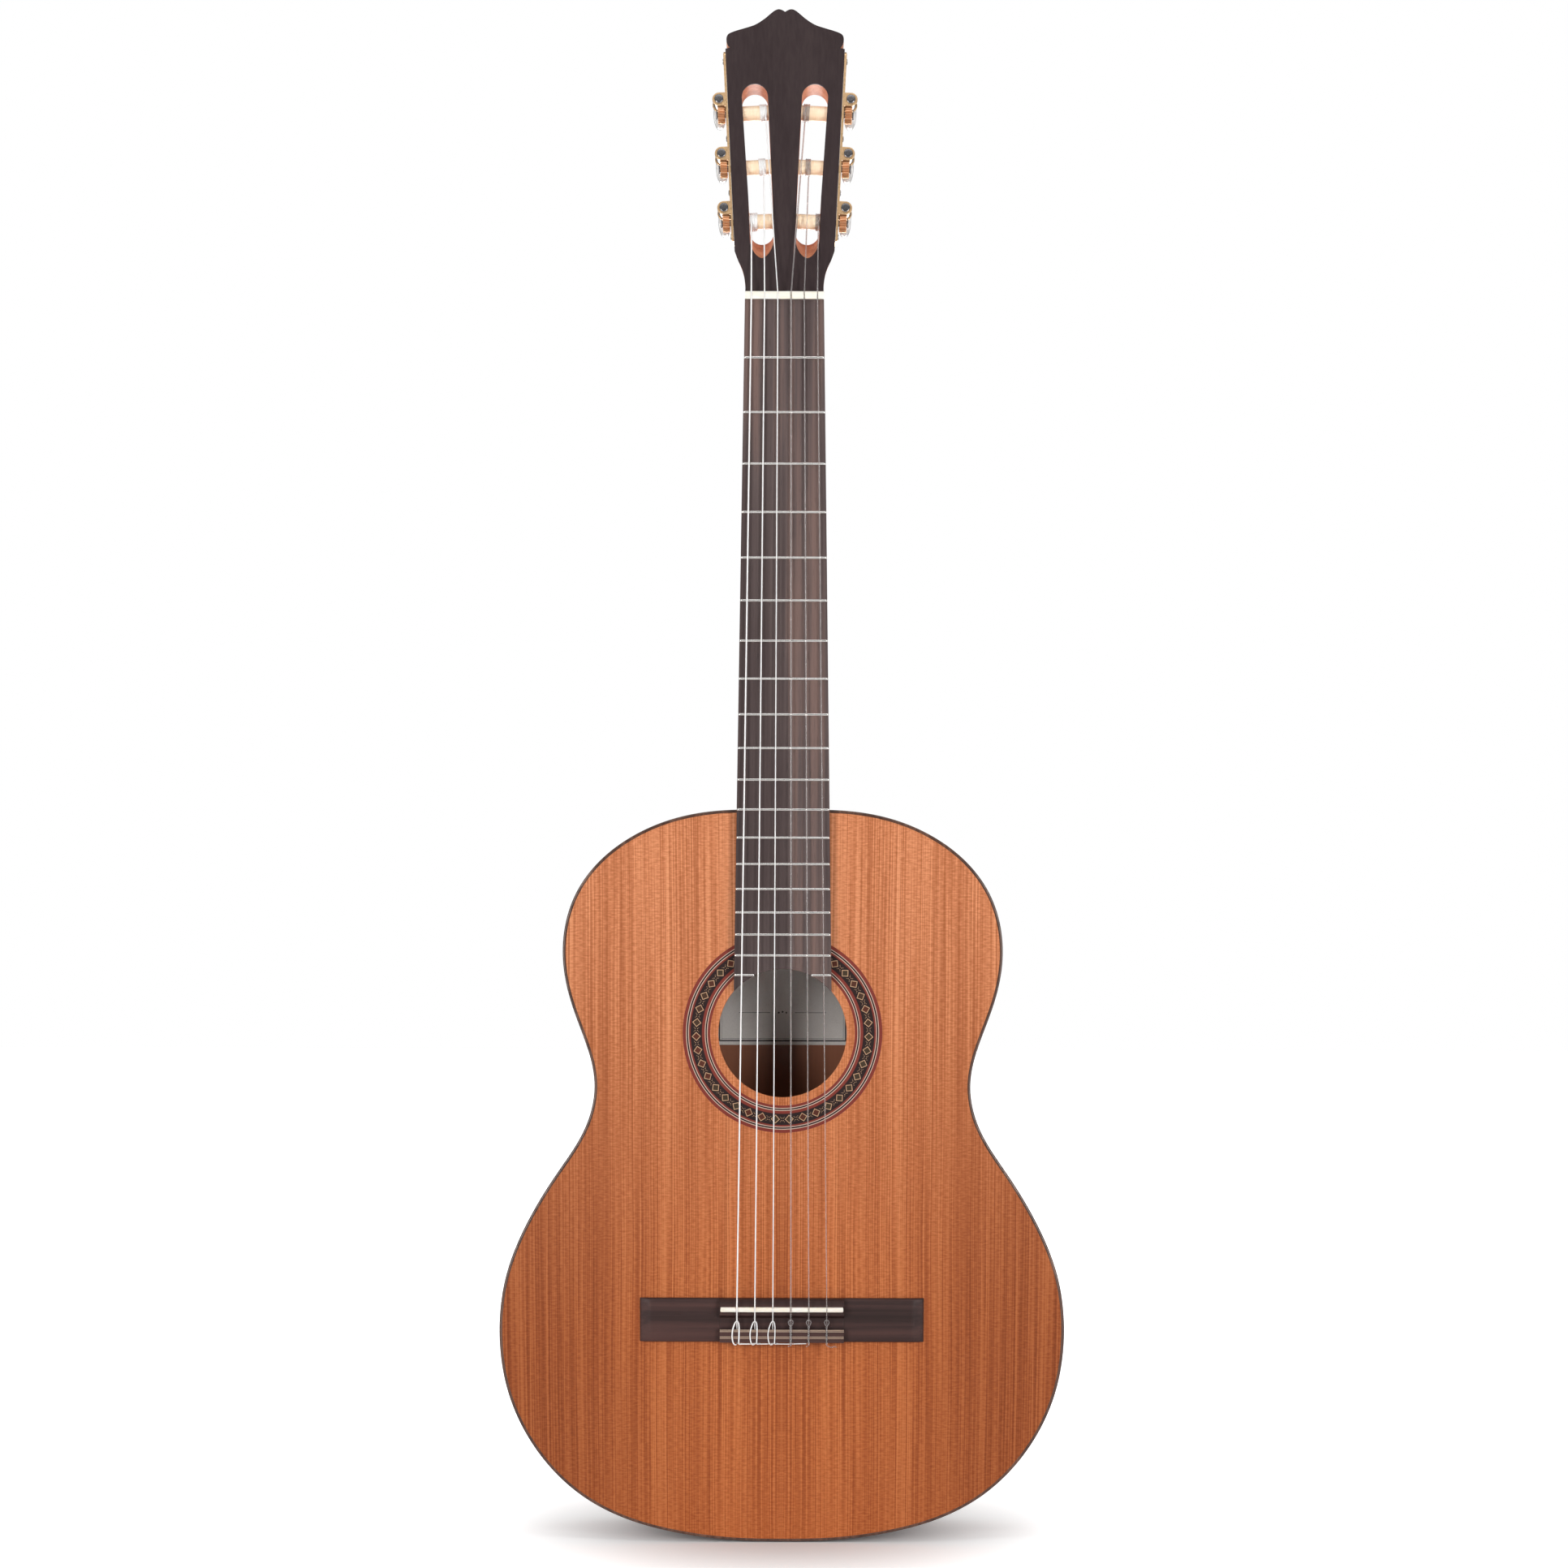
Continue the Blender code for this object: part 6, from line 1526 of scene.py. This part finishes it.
# treble ties: a small eye round the string, then two strands twisted over the tie block
for s in (3, 2, 1):
    r, xs = STRING_R[s] * 0.9, string_x(s, SADDLE_SPREAD)
    y0 = -8.5 - r
    pts = [(0.0, -5.7, 677.2), (0.0, -5.9, 678.7), (0.2, y0 + 1.4, 679.2)]
    for k in range(1, 19):
        ph = 2 * math.pi * 2.3 * k / 18
        pts.append((r * 1.05 * math.sin(ph), y0 - r * 0.75 + r * 0.75 * math.cos(ph) * 1.0, 679.0 - 12.0 * k / 18))
    pts += [(-0.9, y0 + 0.1, 665.6), (-1.55, y0 - 0.2, 664.2), (-1.2, y0 - 0.9, 662.8), (0.0, -9.05 - 2 * r - 0.3, 662.2), (1.2, y0 - 0.9, 662.8), (1.5, y0 - 0.2, 664.2), (0.9, y0 + 0.1, 665.6)]
    for k in range(0, 19):
        ph = 2 * math.pi * 2.3 * (18 - k) / 18 + math.pi
        pts.append((r * 1.05 * math.sin(ph), y0 - r * 0.75 + r * 0.75 * math.cos(ph), 667.0 + 12.0 * k / 18))
    if s == 1:
        pts += [(1.6, y0 + 0.9, 680.3), (3.4, y0 + 0.7, 680.7), (5.0, y0 + 1.3, 680.2), (6.6, y0 + 1.0, 680.8)]
    else:
        pts += [(-0.6, y0 + 1.3, 679.9), (-1.6, y0 + 1.8, 680.2)]
    curve = spline([W(xs + x, y, U(u)) for x, y, u in pts], 5)
    make("string_tie_%d" % s, tube(curve, r, 10), NYLON, slot="nylon", angle=60)

# ------------------------------------------------------------------ inside the body
for node in ("top_lining", "back_lining", "upper_bar", "lower_bar", "fan_bracing", "back_brace_upper", "back_brace_middle", "back_brace_lower"):
    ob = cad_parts[node]
    ob.data.materials.clear()
    ob.data.materials.append(SPRUCE)
for node in ("neck_block", "tail_block"):
    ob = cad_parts[node]
    ob.data.materials.clear()
    ob.data.materials.append(NECK)
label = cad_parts["label"]
label.data.materials.clear()
label.data.materials.append(PAPER)

# ------------------------------------------------------------------ floor, light, camera
scene = bpy.context.scene
scene.view_settings.view_transform = "Standard"
scene.view_settings.look = "None"
scene.view_settings.exposure = 0.0
scene.view_settings.gamma = 1.0

bm = bmesh.new()
bmesh.ops.create_grid(bm, x_segments=12, y_segments=12, size=6.0)
me = bpy.data.meshes.new("studio_floor")
bm.to_mesh(me)
bm.free()
floor = bpy.data.objects.new("studio_floor", me)
floor.location = (0, 0, -0.0004)
scene.collection.objects.link(floor)
fm = Mat("studio_paper", 0.9)
spot = fm.noise(fm.stretch(3, 3, 3), 1.0, 2.0)
fm.set("Base Color", fm.mix(spot, (0.86, 0.86, 0.86), (0.84, 0.84, 0.84)))
fm.set("Specular IOR Level", 0.0)
far = fm.math("SQRT", fm.add(fm.mul(fm.x, fm.x), fm.mul(fm.y, fm.y)))
fm.set("Emission Color", (1.0, 1.0, 1.0))
fm.set("Emission Strength", fm.mul(fm.step(far, 0.02, 0.3), fm.t.nodes.new("ShaderNodeLightPath").outputs["Is Camera Ray"]))
me.materials.append(fm.m)

world = bpy.data.worlds.new("studio")
scene.world = world
world.use_nodes = True
nt = world.node_tree
bg = nt.nodes["Background"]
tc = nt.nodes.new("ShaderNodeTexCoord")
sep = nt.nodes.new("ShaderNodeSeparateXYZ")
nt.links.new(tc.outputs["Generated"], sep.inputs[0])
up = nt.nodes.new("ShaderNodeMapRange")
up.interpolation_type = "SMOOTHSTEP"
nt.links.new(sep.outputs[2], up.inputs["Value"])
up.inputs["From Min"].default_value, up.inputs["From Max"].default_value = -0.1, 0.9
up.inputs["To Min"].default_value, up.inputs["To Max"].default_value = 0.06, 0.3
behind = nt.nodes.new("ShaderNodeMapRange")
behind.interpolation_type = "SMOOTHSTEP"
nt.links.new(sep.outputs[1], behind.inputs["Value"])
behind.inputs["From Min"].default_value, behind.inputs["From Max"].default_value = 0.0, 0.5
behind.inputs["To Min"].default_value, behind.inputs["To Max"].default_value = 0.0, 0.45
reach = nt.nodes.new("ShaderNodeMath")
reach.operation = "MAXIMUM"
nt.links.new(up.outputs[0], reach.inputs[0])
nt.links.new(behind.outputs[0], reach.inputs[1])
lp = nt.nodes.new("ShaderNodeLightPath")
mixn = nt.nodes.new("ShaderNodeMix")
mixn.data_type = "FLOAT"
nt.links.new(lp.outputs["Is Camera Ray"], mixn.inputs[0])
nt.links.new(reach.outputs[0], mixn.inputs[2])
mixn.inputs[3].default_value = 1.0
nt.links.new(mixn.outputs[0], bg.inputs["Strength"])
bg.inputs["Color"].default_value = (1.0, 1.0, 1.0, 1.0)


def area(name, loc, aim, sx, sy, power, spread=180):
    d = bpy.data.lights.new(name, "AREA")
    d.shape, d.size, d.size_y, d.energy = "RECTANGLE", sx, sy, power
    ob = bpy.data.objects.new(name, d)
    ob.location = loc
    ob.rotation_mode = "QUATERNION"
    ob.rotation_quaternion = (Vector(aim) - Vector(loc)).to_track_quat("-Z", "Y")
    scene.collection.objects.link(ob)
    ob.visible_camera = False
    d.spread = math.radians(spread)
    return ob


area("key_left", (-1.3, -2.0, 0.66), (0, 0, 0.45), 0.5, 1.1, 23)
area("key_right", (1.3, -2.0, 0.66), (0, 0, 0.45), 0.5, 1.1, 23)
area("top", (0, -0.9, 2.0), (0, 0, 0.6), 1.4, 0.6, 6)
area("sweep", (0, 1.3, 0.2), (0, 0, 1.0), 1.2, 0.5, 5, 80)
area("back_left", (-1.6, 1.9, 1.3), (0, 0, 0.5), 0.9, 1.4, 7)
area("back_right", (1.6, 1.9, 1.3), (0, 0, 0.5), 0.9, 1.4, 7)

CAM_AT = (0.0, -2.5505, 0.4695)
cd = bpy.data.cameras.new("photo_view")
cd.sensor_width, cd.lens = 36.0, 86.52
cd.clip_start, cd.clip_end = 0.05, 60.0
cam = bpy.data.objects.new("photo_view", cd)
cam.location = CAM_AT
cam.rotation_mode = "QUATERNION"
cam.rotation_quaternion = Quaternion((1, 0, 0), math.radians(90 - 8.0717)) @ Quaternion((0, 0, 1), math.radians(0.149))
scene.collection.objects.link(cam)
scene.camera = cam
for prop, value in (("shift_x", 0.0015), ("shift_y", 0.3768)):
    drv = cd.driver_add(prop).driver
    drv.type = "SCRIPTED"
    var = drv.variables.new()
    var.name = "cy"
    var.type = "TRANSFORMS"
    var.targets[0].id = cam
    var.targets[0].transform_type = "LOC_Y"
    drv.expression = "%.5f if abs(cy + 2.5505) < 0.0005 else 0.0" % value

# flat faces keep flat shading right up to their rounded edges
for ob in PIECES:
    wn = ob.modifiers.new("face_weight", "WEIGHTED_NORMAL")
    wn.keep_sharp, wn.weight = True, 80
bpy.context.view_layer.update()
dg = bpy.context.evaluated_depsgraph_get()
weighted = [bpy.data.meshes.new_from_object(ob.evaluated_get(dg)) for ob in PIECES]
for ob, me in zip(PIECES, weighted):
    ob.modifiers.clear()
    old, ob.data = ob.data, me
    me.name = old.name

bpy.context.view_layer.update()
